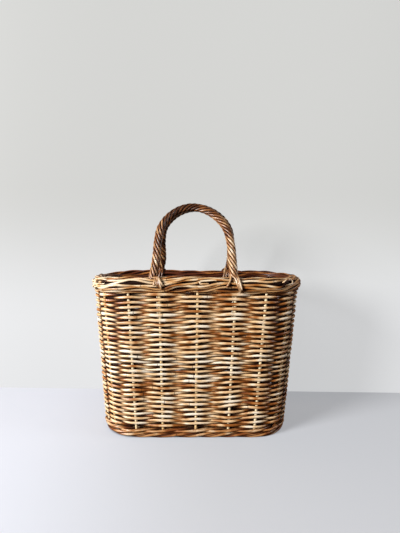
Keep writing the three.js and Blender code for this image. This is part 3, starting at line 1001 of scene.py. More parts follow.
@dataclass
class Foot(WovenPart):
    """The twisted foot ring that the bag stands on, and the twisted pair above it."""

    ring_height: float = 0.0042
    ring_outset: float = 0.0010
    ring_strands: int = 3
    ring_strand_radius: float = 0.0021
    ring_lay_radius: float = 0.0021
    ring_turns: int = 7
    ring_steps: int = 440
    ring_sway: Wave = Wave(0.05, 5)
    ring_tones: tuple[float, float] = (0.36, 0.66)
    # Painted shade on the ring's underside, lighter towards ring_lit_angle.
    ring_light_and_wear: float = 0.58
    ring_lit_angle: float = 0.5
    wale_radius: float = 0.0019
    wale_reach: float = 0.0041
    wale_lift: float = 0.0014
    wale_level: float = 0.0118
    wale_rods: int = 2
    wale_rod_shift: float = 0.22
    wale_steps: int = 10
    wale_tones: tuple[float, float] = (0.25, 0.55)
    # Painted shade on the wale's passes behind the stakes.
    wale_light_and_wear: float = 0.55
    seed: int = 31

    def build(self) -> None:
        """Makes the foot ring and the twisted pair."""
        chance = np.random.default_rng(self.seed)
        self.build_ring(chance)
        for strand, letter in enumerate("ab"):
            self.build_wale(strand, letter, chance)

    def build_ring(self, chance: Chance) -> None:
        """Makes the foot ring.

        Args:
            chance: Source of the strands' sway and tone.
        """
        ring = RodBundle.of_node("foot_ring", Slot.FOOT_ROD)
        shares = np.arange(self.ring_steps) / self.ring_steps
        points, outward = self.wall.base.trace(shares)
        heights = np.full((self.ring_steps, 1), self.ring_height)
        centre = np.concatenate([points + outward * self.ring_outset, heights], axis=1)
        for strand in range(self.ring_strands):
            sway = self.ring_sway.at(shares, chance.uniform())
            angle = TURN * (self.ring_turns * shares + strand / self.ring_strands + sway)
            lay = round_roll(outward, angle)
            path = self.wall.settled(centre + lay * self.ring_lay_radius)
            # Painted shade: strands lighter where they face out and up, darker underneath.
            worn = self.ring_light_and_wear + (1 - self.ring_light_and_wear) * np.cos(angle - self.ring_lit_angle)
            ring.add(path, self.ring_strand_radius, chance.uniform(*self.ring_tones), lay, worn, closed=True)
        ring.finish(self.finishes)

    def build_wale(self, strand: int, letter: str, chance: Chance) -> None:
        """Makes one of the two that are twisted round the stakes.

        Args:
            strand: Its number.
            letter: Its letter in the CAD node's name.
            chance: Source of its rods' tones.
        """
        wale = RodBundle.of_node(f"foot_wale_{letter}", Slot.FOOT_ROD)
        passed = np.arange(self.wall.stakes * self.wale_steps) / self.wale_steps
        share = self.wall.share_at(passed)
        for rod in range(self.wale_rods):
            turned = math.pi * (passed + strand + rod * self.wale_rod_shift)
            swing = np.cos(turned)
            level = self.wale_level + np.sin(turned) * self.wale_lift
            path = self.wall.settled(self.wall.point(share, level, swing * self.wale_reach))
            # Painted shade: passes behind the stakes are darker than those in front.
            worn = self.wale_light_and_wear + (1 - self.wale_light_and_wear) * swing
            tone = chance.uniform(*self.wale_tones)
            wale.add(path, self.wale_radius, tone, self.wall.outward(share), worn, closed=True)
        wale.finish(self.finishes)


@dataclass(frozen=True)
class Ripple:
    """A slow wave of the rows over the wall: its size, its pace along X, Y and Z, and where it starts."""

    size: float
    pace: tuple[float, float, float]
    start: float = 0.0


@dataclass(frozen=True)
class Spot:
    """A place on the front wall that differs from the rest, and by how much."""

    x: float
    height: float
    half_length: float
    half_height: float
    amount: float


@dataclass
class Siding(WovenPart):
    """Two sets of long weavers that chase each other up the stakes in plain weave."""

    bottom: float = 0.0168
    top: float = 0.22736
    turns: int = 27
    node_rods: int = 4
    rods_in_node: int = 4
    radius: float = 0.0021
    flatness: float = 0.16
    reach: float = 0.0033
    outset: float = 0.0008
    tuck: float = 0.0016
    tuck_passes: float = 0.5
    overlap_passes: float = 0.3
    row_wave: float = 0.0009
    stray: float = 0.0003
    stray_pace: float = 1.1
    thick_shares: tuple[float, float, float] = (1.28, 0.82, 1.12)
    thickness: Spread = Spread(1.0, 0.09, 0.85, 1.14)
    tone: Spread = Spread(0.24, 0.12, 0.04, 0.7)
    closing_passes: int = 20
    cut_shift: float = 6.0
    # Painted shade: a low light-and-wear level on the skin facing into the bag, and darker ends of the inner
    # passes.
    inner_light_and_wear: float = 0.2
    end_shade: Fade = Fade(0.105, 0.03, amount=0.7)
    # Painted shade: the wall darkens towards the right end, away from the light.
    right_shade: Fade = Fade(0.01, 0.13, amount=0.10)
    foot_brown: Fade = Fade(0.040, -0.02, amount=0.12)
    top_brown: Fade = Fade(0.145, 0.06, amount=0.09)
    bleached: tuple[Spot, ...] = (
        Spot(-0.01, 0.060, 0.06, 0.022, 0.10),
        Spot(-0.04, 0.135, 0.06, 0.035, 0.06),
    )
    ripples: tuple[Ripple, ...] = (
        Ripple(0.0010, (31, 44, 19)),
        Ripple(0.0006, (83, -61, 47), 1.3),
        Ripple(0.0003, (190, -170, 120), 0.6),
    )
    slack: tuple[Spot, ...] = (
        Spot(0.061, 0.0465, 0.021, 0.006, 0.00496),
        Spot(0.050, 0.0260, 0.030, 0.006, -0.00112),
        Spot(-0.030, 0.0480, 0.028, 0.006, 0.00128),
        Spot(-0.060, 0.1250, 0.040, 0.006, 0.00096),
        Spot(0.030, 0.1700, 0.035, 0.006, -0.00096),
    )
    held_rows: float = 0.012
    held_above: float = 0.004
    steps: int = 7
    seed: int = 47

    def splice_pass(self, rod: int, strand: int) -> int:
        """Place where one CAD rod hands over to the next, inside a stake.

        Args:
            rod: Number of the rod that starts there.
            strand: Which of the two sets it belongs to.

        Returns:
            The count of stakes passed.
        """
        evenly = round(self.wall.stakes * (self.turns * rod / self.node_rods + strand / 2))
        if (evenly + strand) % 2 != 0:
            return evenly
        return evenly + 1 if rod == 0 else evenly - 1

    def drift(self, points: Array) -> Array:
        """How far the rows stray up or down at points of the wall: ripples, and slack spots where rows part.

        Args:
            points: Points on the wall, one a row.

        Returns:
            The heights to add.
        """
        x, y, z = points.T
        moved = np.zeros(len(points))
        for ripple in self.ripples:
            moved += ripple.size * np.sin(points @ np.array(ripple.pace) + ripple.start)
        for spot in self.slack:
            rows_away = (z - spot.height) / spot.half_height
            near = np.exp(-(((x - spot.x) / spot.half_length) ** 2) - rows_away**2 / 2) * (y < 0)
            moved += spot.amount * near * rows_away
        above = Fade(self.bottom, self.held_rows).at(z)
        return moved * above * Fade(self.top + self.held_above, -self.held_rows).at(z)

    def weathering_and_shade(self, points: Array) -> Array:
        """Change of tone over the wall: darker towards the right end as painted shade, browner at the foot
        and top, bleached in places.

        Args:
            points: Points on the wall, one a row.

        Returns:
            The tones to add.
        """
        x, y, z = points.T
        # Painted shade towards the right end, with browner foot and top rows.
        tone = self.right_shade.at(x) + self.foot_brown.at(z) + self.top_brown.at(z)
        for spot in self.bleached:
            away = ((x - spot.x) / spot.half_length) ** 2 + ((z - spot.height) / spot.half_height) ** 2
            tone -= spot.amount * np.exp(-away) * (y < 0)
        return tone

    def rod_path(self, strand: int, first: float, last: float) -> tuple[Array, Array, Array]:
        """Middle line of one weaver.

        Args:
            strand: Which of the two sets it belongs to.
            first: Stakes passed at its start.
            last: Stakes passed at its end.

        Returns:
            Points, directions out of the wall and how far outside the wall it is, from 0 to 1.
        """
        wall = self.wall
        passed = np.linspace(first, last, round((last - first) * self.steps) + 1)
        swing = np.cos(math.pi * (passed + strand))
        climbed = (passed / wall.stakes - strand / 2) / self.turns
        share = wall.share_at(passed)
        tucked = Fade(first + self.tuck_passes, -self.tuck_passes, amount=self.tuck).at(passed)
        tucked += Fade(last - self.tuck_passes, self.tuck_passes, amount=self.tuck).at(passed)
        height = self.bottom + (self.top - self.bottom) * climbed
        path = wall.point(share, height, self.outset + swing * self.reach - tucked)
        path[:, 2] += self.drift(path) + swing * self.row_wave
        return wall.settled(path), wall.outward(share), 0.5 + 0.5 * swing

    def cuts(self, start: int, end: int, chance: Chance) -> list[int]:
        """Counts of stakes passed where the rods of one node meet, all inside a stake.

        Args:
            start: Where the first rod starts.
            end: Where the last one ends.
            chance: Source of the uneven lengths.

        Returns:
            The counts, from start to end.
        """
        middle = []
        for number in range(1, self.rods_in_node):
            shift = chance.uniform(-self.cut_shift, self.cut_shift)
            middle.append(start + 2 * round(((end - start) * number / self.rods_in_node + shift) / 2))
        return [start, *middle, end]

    def add_weaver(self, bundle: RodBundle, strand: int, first: int, last: int, chance: Chance) -> None:
        """Adds one weaver to its piece.

        Args:
            bundle: The piece.
            strand: Which of the two sets it belongs to.
            first: Stakes passed at its start.
            last: Stakes passed at its end.
            chance: Source of its stray, thickness and tone.
        """
        path, hints, outside = self.rod_path(strand, first - self.overlap_passes, last + self.overlap_passes)
        along = np.linspace(0.0, (last - first) * self.stray_pace, len(path))
        path[:, 2] += self.stray * np.sin(along + chance.uniform(0, TURN))
        thick = self.radius * self.thickness.draw(chance)
        radius = thick * np.interp(outside, (0, 0.5, 1), self.thick_shares)
        tone = self.tone.draw(chance) + self.weathering_and_shade(path)
        # Painted shade: passes behind the stakes and all inward-facing skin are darker.
        inside = 1 - outside
        worn = outside - self.end_shade.at(np.abs(path[:, 0])) * inside
        bundle.add(path, radius, tone, hints, worn, self.inner_light_and_wear * inside)

    def build(self) -> None:
        """Makes the weavers, a few to each CAD node."""
        chance = np.random.default_rng(self.seed)
        for strand, letter in enumerate("ab"):
            for rod in range(self.node_rods):
                bundle = RodBundle.of_node(f"siding_{letter}_{rod + 1}", Slot.WEAVER, self.flatness)
                end = self.splice_pass(rod + 1, strand)
                if rod + 1 == self.node_rods:
                    end += self.closing_passes
                cuts = self.cuts(self.splice_pass(rod, strand), end, chance)
                for first, last in zip(cuts[:-1], cuts[1:]):
                    self.add_weaver(bundle, strand, first, last, chance)
                bundle.finish(self.finishes)


@dataclass(frozen=True)
class BorderEye:
    """A place in the border where rods part, how far they part, and how much painted shade darkens it."""

    share: float
    half_length: float
    height_angle: float
    opening: float
    shade: float


@dataclass(frozen=True)
class BorderHook:
    """A rod's end that turns back on itself on the face of the border."""

    share: float
    length: float
    lower_part: float
    upper_angle: float
    lower_angle: float
    tone: float


@dataclass
class Border(WovenPart):
    """Rods rolled round the tops of the stakes."""

    roll_depth: float = 0.0078
    roll_rise: float = 0.0102
    lift: float = 0.0012
    tilt: float = 0.0014
    nodes: int = 4
    rods_in_node: int = 4
    radius: float = 0.0020
    thickness: tuple[float, float] = (0.9, 1.08)
    flatness: float = 0.1
    turns: int = 1
    steps: int = 900
    waviness: tuple[Wave, ...] = (Wave(0.0006, 5, 0.3), Wave(0.0004, 13, 0.7))
    shared_sways: tuple[Wave, ...] = (Wave(0.03, 5, 0.05), Wave(0.008, 9, 0.4))
    own_sways: tuple[Wave, ...] = (Wave(0.018, 7), Wave(0.011, 16))
    weave: Wave = Wave(0.12, 11)
    weave_shift: float = 0.3
    tone: Spread = Spread(0.33, 0.15, 0.08, 0.75)
    # Painted shade on the back rim and painted light at the left end.
    back_shade: Fade = Fade(-0.04, 0.08, amount=0.42)
    left_light: Fade = Fade(-0.07, -0.06, amount=0.12)
    # Painted shade on the underside and inside of the roll, lighter towards lit_angle.
    worn: float = 0.6
    lit_angle: float = 0.4
    core_roll: float = 0.0038
    core_radius: float = 0.0034
    # Painted shade: the core inside the roll is dark.
    core_tone: float = 0.8
    core_light_and_wear: float = 0.1
    eye_edge: float = 0.15
    eye_height: float = 0.45
    hook_radius: float = 0.0016
    hook_reach: float = 1.10
    hook_dive: float = 0.8
    hook_dive_start: float = 0.5
    hook_dive_power: float = 1.5
    hook_lower_dive: float = 0.5
    hook_bend: float = 0.003
    rim_rounding: float = 0.91
    hook_slant: float = 0.25
    hook_points: int = 10
    eyes: tuple[BorderEye, ...] = (
        BorderEye(0.1570, 0.014, 0.45, 0.42, 1.0),
        BorderEye(0.0160, 0.016, 0.55, 0.20, 0.9),
        BorderEye(0.2080, 0.010, 0.10, 0.12, 0.8),
        BorderEye(0.8280, 0.008, 0.70, 0.30, 1.0),
        BorderEye(0.8120, 0.008, 0.45, 0.20, 0.9),
        BorderEye(0.8060, 0.006, -0.60, 0.30, 1.0),
        BorderEye(0.9500, 0.020, -0.30, 0.16, 0.6),
        BorderEye(0.0600, 0.020, -0.45, 0.16, 0.6),
        BorderEye(0.8770, 0.030, 0.25, 0.12, 0.3),
        BorderEye(0.9630, 0.030, 0.75, 0.12, 0.3),
        BorderEye(0.0923, 0.030, 0.10, 0.12, 0.3),
    )
    hooks: tuple[BorderHook, ...] = (
        BorderHook(0.0030, 0.040, 0.25, 0.66, 0.24, 0.30),
        BorderHook(0.1770, -0.016, 0.70, 0.98, 0.30, 0.22),
        BorderHook(0.8020, 0.026, 0.70, 0.85, 0.15, 0.16),
        BorderHook(0.7990, 0.024, 0.80, -0.30, -0.95, 0.16),
    )
    seed: int = 59

    def centre_line(self, shares: Array) -> tuple[Array, Array]:
        """Middle of the roll.

        Args:
            shares: Shares of the way round.

        Returns:
            Points, and outward directions in the plan, one a row.
        """
        points, outward = self.wall.rim.trace(shares)
        height = self.wall.border_height + self.lift - self.tilt * points[:, 1] / (self.wall.rim.depth / 2)
        height += sum(wave.at(shares) for wave in self.waviness)
        return np.concatenate([points, height[:, None]], axis=1), outward

    def on_roll(self, centre: Array, lay: Array, reach: Values) -> Array:
        """Points round the roll.

        Args:
            centre: Middle of the roll.
            lay: Directions out of it.
            reach: Share of the roll's size, one number or one for each point.

        Returns:
            The points, one a row.
        """
        size = np.array([self.roll_depth, self.roll_depth, self.roll_rise])
        return self.wall.settled(centre + lay * size * np.reshape(reach, (-1, 1)))

    def parted(self, angle: Array, shares: Array) -> tuple[Array, Array]:
        """Opens the eyes of the border by pushing rods up and down around them.

        Args:
            angle: Place of a rod round the roll, from straight out towards the top.
            shares: Shares of the way round.

        Returns:
            The angle, changed near the eyes, and the painted shade on the rod there, from 0 to 1.
        """
        shade = np.zeros(len(shares))
        for eye in self.eyes:
            above = (angle - eye.height_angle + math.pi) % TURN - math.pi
            along = ((shares - eye.share + 0.5) % 1.0 - 0.5) * self.wall.rim.perimeter / eye.half_length
            # Painted shade darkens the rods round each eye.
            shade = np.maximum(shade, eye.shade * np.exp(-(along**2) - (above / self.eye_height) ** 2))
            angle = angle + eye.opening * np.exp(-(along**2) - above**2) * np.tanh(above / self.eye_edge)
        return angle, shade

    def build(self) -> None:
        """Makes the rods, four to each CAD strand, and the hooked ends on the first strand."""
        chance = np.random.default_rng(self.seed)
        shares = np.arange(self.steps) / self.steps
        centre, outward = self.centre_line(shares)
        for node in range(self.nodes):
            bundle = RodBundle.of_node(f"border_strand_{node + 1}", Slot.BORDER_ROD, self.flatness)
            for rod in range(self.rods_in_node):
                self.add_rod(bundle, node * self.rods_in_node + rod, shares, chance)
            lay = round_roll(outward, TURN * (self.turns * shares + node / self.nodes))
            path = self.on_roll(centre, lay, self.core_roll / self.roll_depth)
            # Painted shade: a dark core inside the roll.
            bundle.add(path, self.core_radius, self.core_tone, lay, self.core_light_and_wear, closed=True)
            if node == 0:
                for hook in self.hooks:
                    self.add_hook(bundle, hook)
            bundle.finish(self.finishes)

    def add_rod(self, bundle: RodBundle, number: int, shares: Array, chance: Chance) -> None:
        """Adds one rod that goes all the way round.

        Args:
            bundle: The piece that it joins.
            number: Its number among the rods of all pieces.
            shares: Shares of the way round.
            chance: Source of its sways, thickness and tone.
        """
        centre, outward = self.centre_line(shares)
        sway = sum(wave.at(shares) for wave in self.shared_sways)
        sway = sway + sum(wave.at(shares, chance.uniform()) for wave in self.own_sways)
        laid = self.turns * shares + number / (self.nodes * self.rods_in_node) + sway
        angle, shade = self.parted(TURN * laid, shares)
        reach = 1 + self.weave.at(shares, number / 2 + chance.uniform(0, self.weave_shift))
        lay = round_roll(outward, angle)
        radius = self.radius * chance.uniform(*self.thickness)
        # Painted shade darkens the back rim; painted light makes the left end paler.
        tone = self.tone.draw(chance) + self.back_shade.at(centre[:, 1]) - self.left_light.at(centre[:, 0])
        # Painted shade: skin facing down and in, and the eyes, are darker.
        worn = (self.worn + (1 - self.worn) * np.cos(angle - self.lit_angle)) * (1 - shade)
        bundle.add(self.on_roll(centre, lay, reach), radius, tone, lay, worn, closed=True)

    def add_hook(self, bundle: RodBundle, hook: BorderHook) -> None:
        """Adds one hooked end: two legs joined by a tight bend, both diving into the roll.

        Its length is laid along a rim taken as a share of the box around it.

        Args:
            bundle: The piece that it joins.
            hook: Its place and size.
        """
        count = self.hook_points
        bend = np.linspace(0.0, math.pi, count - 1)[1:-1]
        bend_size = self.hook_bend / abs(hook.length)
        upper = np.linspace(1.0, bend_size, count)
        lower = np.linspace(bend_size, bend_size + hook.lower_part, count)
        along = np.concatenate([upper, bend_size * (1 - np.sin(bend)), lower])
        sinking = Fade(self.hook_dive_start, 1.0).at(upper)
        dive = np.concatenate([sinking, 0 * bend, np.linspace(0.0, self.hook_lower_dive, count)])
        turned = np.concatenate([np.ones(count), np.cos(bend), -np.ones(count)])
        angle = (hook.upper_angle + hook.lower_angle) / 2 + turned * (hook.upper_angle - hook.lower_angle) / 2
        angle += self.hook_slant * along * np.sign(hook.length)
        rim_length = self.rim_rounding * 2 * (self.wall.rim.length + self.wall.rim.depth)
        centre, outward = self.centre_line(hook.share + along * hook.length / rim_length)
        lay = round_roll(outward, angle)
        path = self.on_roll(centre, lay, self.hook_reach - self.hook_dive * dive**self.hook_dive_power)
        bundle.add(softened(path, 1), self.hook_radius, hook.tone, softened(lay, 1))


@dataclass(frozen=True)
class Tail:
    """Where a strand's tail goes into the border: how far along from the foot, and how high."""

    along: float
    height: float


@dataclass
class Handle(WovenPart):
    """One roped handle: strands laid round a bow, with tails that tie its feet to the border."""

    face: Face
    seed: int
    foot_height: float = 0.2537
    foot_rise: float = 0.0022
    foot_beside: float = 0.00388
    foot_shifts: tuple[float, float] = (0.0, 0.0)
    foot_shift_reach: Fade = Fade(0.4, -0.4, 1.5)
    spring_height: float = 0.322
    spring_half_span: float = 0.0575
    top_height: float = 0.366
    top_offset: float = 0.0075
    top_offset_power: float = 1.2
    lean: float = 0.004
    bow_shift: float = 0.0
    bow_shift_reach: Fade = Fade(0.0, 0.25)
    shoulder_ease: Fade = Fade(0.42, 0.58, 1.25, 0.19)
    leg_points: int = 30
    bow_points: int = 40
    line_step: float = 0.0022
    strands: int = 7
    strand_radius: float = 0.00197
    strand_step: float = 0.0024
    lay_radius: float = 0.0048
    lay_length: float = 0.063
    rope_reach: float = 0.012
    tail_radius: float = 0.0017
    tail_trim: int = 3
    tail_shares: tuple[float, ...] = (0.2, 0.5, 0.8, 1.0, 1.0)
    tail_drops: tuple[float, ...] = (0.0142, 0.0085, 0.0030, 0.0, -0.0012)
    tail_rises: tuple[float, ...] = (0.0, 0.25, 0.7, 1.0, 1.0)
    tail_dive: float = 0.4
    border_depth: float = 0.0103
    border_rise: float = 0.0150
    border_lift: float = 0.001
    border_least: float = 0.15
    tone: Spread = Spread(0.36, 0.15, 0.1, 0.8)
    darkness: float = 0.07
    # Painted light: the right leg paler and the left leg darker.
    bleaching: float = 0.04
    top_darkness: float = 0.42
    # Painted light: the lit right shoulder loses part of the top's browning.
    lit_shoulder: float = 0.75
    worn: float = 0.9
    core_radius: float = 0.0021
    core_point_radius: float = 0.0012
    core_point_height: float = 0.195
    core_reach: float = 0.014
    core_step: float = 0.004
    core_tones: tuple[float, float] = (0.15, 0.6)
    left_tails: tuple[Tail, ...] = (
        Tail(-0.0035, 0.004),
        Tail(0.001, 0.003),
        Tail(0.0045, 0.001),
        Tail(0.0075, -0.001),
        Tail(0.0100, 0.003),
    )
    right_tails: tuple[Tail, ...] = (
        Tail(-0.0115, 0.003),
        Tail(0.007, -0.003),
        Tail(0.009, -0.005),
        Tail(0.011, -0.002),
    )
    inside_tails: tuple[Tail, ...] = (Tail(-0.006, -0.004), Tail(0.0, -0.004), Tail(0.006, -0.004))

    def beside_stake(self, side: Side, height: float) -> Array:
        """Point beside the foot's stake at a height."""
        stake = side.value if self.face is Face.FRONT else 2 * len(self.wall.quarter_shares) - side.value
        return self.wall.stake_point(stake, height) - self.foot_beside * LENGTHWISE

    def foot(self, side: Side) -> Array:
        """Middle of a foot, on the border."""
        return self.beside_stake(side, self.foot_height)

    def half_line(self, side: Side) -> Array:
        """Middle line of one side, from the foot to the top.

        Args:
            side: Which side.

        Returns:
            The points, one a row.
        """
        foot = self.foot(side)
        middle = (self.foot(Side.LEFT)[0] + self.foot(Side.RIGHT)[0]) / 2
        lowest = self.foot_height + self.foot_rise
        spring_x = middle + side.value * self.spring_half_span
        leg = np.linspace(0.0, 1.0, self.leg_points)
        bow = np.linspace(0.0, math.pi / 2, self.bow_points)[1:]
        leg_x = foot[0] + (spring_x - foot[0]) * leg * (2 - leg)
        leg_z = lowest + (self.spring_height - lowest) * leg
        bow_z = self.spring_height + (self.top_height - self.spring_height) * np.sin(bow)
        x = np.concatenate([leg_x, middle + (spring_x - middle) * np.cos(bow)])
        z = np.concatenate([leg_z, bow_z])
        climbed = (z - lowest) / (self.top_height - lowest)
        shift = self.bow_shift * np.sin(self.bow_shift_reach.at(climbed) * math.pi / 2)
        shift += self.foot_shifts[side is Side.RIGHT] * self.foot_shift_reach.at(climbed)
        x = middle + (x - middle) * (1 - self.shoulder_ease.at(climbed)) - self.lean * climbed + shift
        y = foot[1] + (self.face.value * self.top_offset - foot[1]) * climbed**self.top_offset_power
        return np.concatenate([[foot], np.stack([x, y, z], axis=1)])

    def middle_line(self) -> Array:
        """Middle line of the whole handle, left to right."""
        left, right = (self.half_line(side) for side in Side)
        return spaced(np.concatenate([left, right[::-1][1:]]), self.line_step)

    def strand_line(self, line: Array, number: int) -> Array:
        """Path of one strand round the middle line.

        Args:
            line: The middle line.
            number: Which strand.

        Returns:
            The points, one a row.
        """
        ahead = unit(np.gradient(line, axis=0))
        front = square_to(ahead, np.broadcast_to(-CROSSWISE, ahead.shape))
        inner = np.cross(ahead, front)
        run = travelled(line)
        angle = TURN * (number / self.strands + (run - run[-1] / 2) / self.lay_length)
        return line + self.lay_radius * (inner * np.cos(angle)[:, None] + front * np.sin(angle)[:, None])

    def tail_line(self, side: Side, start: Array, outside: bool, tail: Tail) -> Array:
        """Points of a tail from a strand's end over the border and into it.

        Args:
            side: Which foot.
            start: The strand's end.
            outside: Whether the tail goes down the outside of the wall.
            tail: Where it goes in.

        Returns:
            The points from the strand downwards, one a row.
        """
        height = np.array(self.tail_drops) + np.array(self.tail_rises) * tail.height
        above = (height - self.border_lift) / self.border_rise
        reach = np.sqrt(np.clip(1 - above**2, self.border_least, 1.0)) * (1 if outside else -1)
        reach *= self.border_depth + self.tail_radius
        reach[-1] *= self.tail_dive
        x = start[0] + (self.foot(side)[0] + tail.along - start[0]) * np.array(self.tail_shares)
        y = self.face.value * (self.wall.rim.depth / 2 + reach)
        return np.stack([x, y, self.wall.border_height + height], axis=1)

    def tails(self, side: Side, starts: list[Array]) -> list[Array]:
        """Tail of every strand at one foot: the outermost strands go outside, in order from left to right.

        Args:
            side: Which foot.
            starts: The strands' ends.

        Returns:
            The tails in the order of the strands.
        """
        order = sorted(range(self.strands), key=lambda k: self.face.value * starts[k][1], reverse=True)
        outer_tails = self.left_tails if side is Side.LEFT else self.right_tails
        parts = (
            (True, order[:len(outer_tails)], outer_tails),
            (False, order[len(outer_tails):], self.inside_tails),
        )
        lines = {}
        for outside, members, tails in parts:
            for strand, tail in zip(sorted(members, key=lambda k: starts[k][0]), tails):
                lines[strand] = self.tail_line(side, starts[strand], outside, tail)
        return [lines[strand] for strand in range(self.strands)]

    def outward_of(self, path: Array, line: Array, in_rope: Array) -> Array:
        """Directions out of the rope, and out of the border where a path leaves the rope.

        Args:
            path: Points of a strand.
            line: The handle's middle line.
            in_rope: How far each point is in the rope, from 0 to 1.

        Returns:
            The directions, one a row.
        """
        away = np.linalg.norm(path[:, None, :] - line[None, :, :], axis=2)
        from_rope = path - line[np.argmin(away, axis=1)]
        border = np.array([0.0, self.face.value * self.wall.rim.depth / 2, self.wall.border_height])
        from_border = (path - border) * (CROSSWISE + UPWARD)
        return unit(from_rope) * in_rope[:, None] + unit(from_border) * (1 - in_rope[:, None])

    def build(self) -> None:
        """Makes the rope and the core."""
        line = self.middle_line()
        self.build_rope(line)
        self.build_core(line)

    def build_rope(self, line: Array) -> None:
        """Makes the strands with their tails.

        Args:
            line: The handle's middle line.
        """
        label = self.face.name.lower()
        chance = np.random.default_rng(self.seed)
        nodes = [f"handle_{label}_rope"]
        nodes += [f"tail_{label}_{side.name.lower()}_{number}" for side in Side for number in (1, 2)]
        bundle = RodBundle(f"rod_handle_{label}_strands", tuple(nodes), Slot.HANDLE_ROPE)
        paths = [self.strand_line(line, number) for number in range(self.strands)]
        lefts = self.tails(Side.LEFT, [path[0] for path in paths])
        rights = self.tails(Side.RIGHT, [path[-1] for path in paths])
        rope = Fade(self.foot_height, self.rope_reach)
        browned = Fade(self.foot_height, self.top_height - self.foot_height, 2, self.top_darkness)
        for path, left, right in zip(paths, lefts, rights):
            whole = np.concatenate([left[::-1], path[self.tail_trim:-self.tail_trim], right])
            whole = spaced(softened(whole, 2), self.strand_step)
            in_rope = rope.at(whole[:, 2])
            across = whole[:, 0] / self.spring_half_span
            # Painted light: paler to the right, and the right shoulder keeps less of the top's browning.
            tone = self.tone.draw(chance) + self.darkness - self.bleaching * across
            tone += browned.at(whole[:, 2]) * (1 - self.lit_shoulder * np.clip(across, 0.0, 1.0))
            radius = self.tail_radius + (self.strand_radius - self.tail_radius) * in_rope
            bundle.add(whole, radius, tone, self.outward_of(whole, line, in_rope), self.worn)
        bundle.finish(self.finishes)

    def build_core(self, line: Array) -> None:
        """Makes the core, whose pointed ends go down beside a stake.

        Args:
            line: The handle's middle line.
        """
        core = RodBundle.of_node(f"handle_{self.face.name.lower()}_core", Slot.HANDLE_CORE)
        left, right = (self.beside_stake(side, self.core_point_height) for side in Side)
        path = spaced(np.array([left, *line, right]), self.core_step)
        in_rope = Fade(self.foot_height, self.core_reach).at(path[:, 2])
        radius = self.core_point_radius + (self.core_radius - self.core_point_radius) * in_rope
        core.add(path, radius, self.core_tones[0] + self.core_tones[1] * in_rope, self.face.value * CROSSWISE)
        core.finish(self.finishes)


@dataclass(frozen=True)
class ColourChange:
    """A smooth change from one colour to another between two places on an axis."""

    first: str
    second: str
    start: float
    end: float

    def build(self, graph: NodeGraph, place: bpy.types.NodeSocket) -> bpy.types.NodeSocket:
        """Colour at a place on the axis."""
        return graph.blend(graph.remap(place, self.start, self.end), linear(self.first), linear(self.second))


@dataclass(frozen=True)
class StagePaint:
    """Paint of the floor or the backdrop: a colour that changes upwards, with painted light from left to
    right; on the backdrop the change upwards is painted light too.
    """

    name: str
    upward: ColourChange
    tint: ColourChange
    glow: float
    bounce: str


@dataclass(frozen=True)
class Lamp:
    """A round lamp that faces the bag: watts, diameter, and degrees from the front and above the floor."""

    name: str
    power: float
    size: float
    azimuth: float
    elevation: float


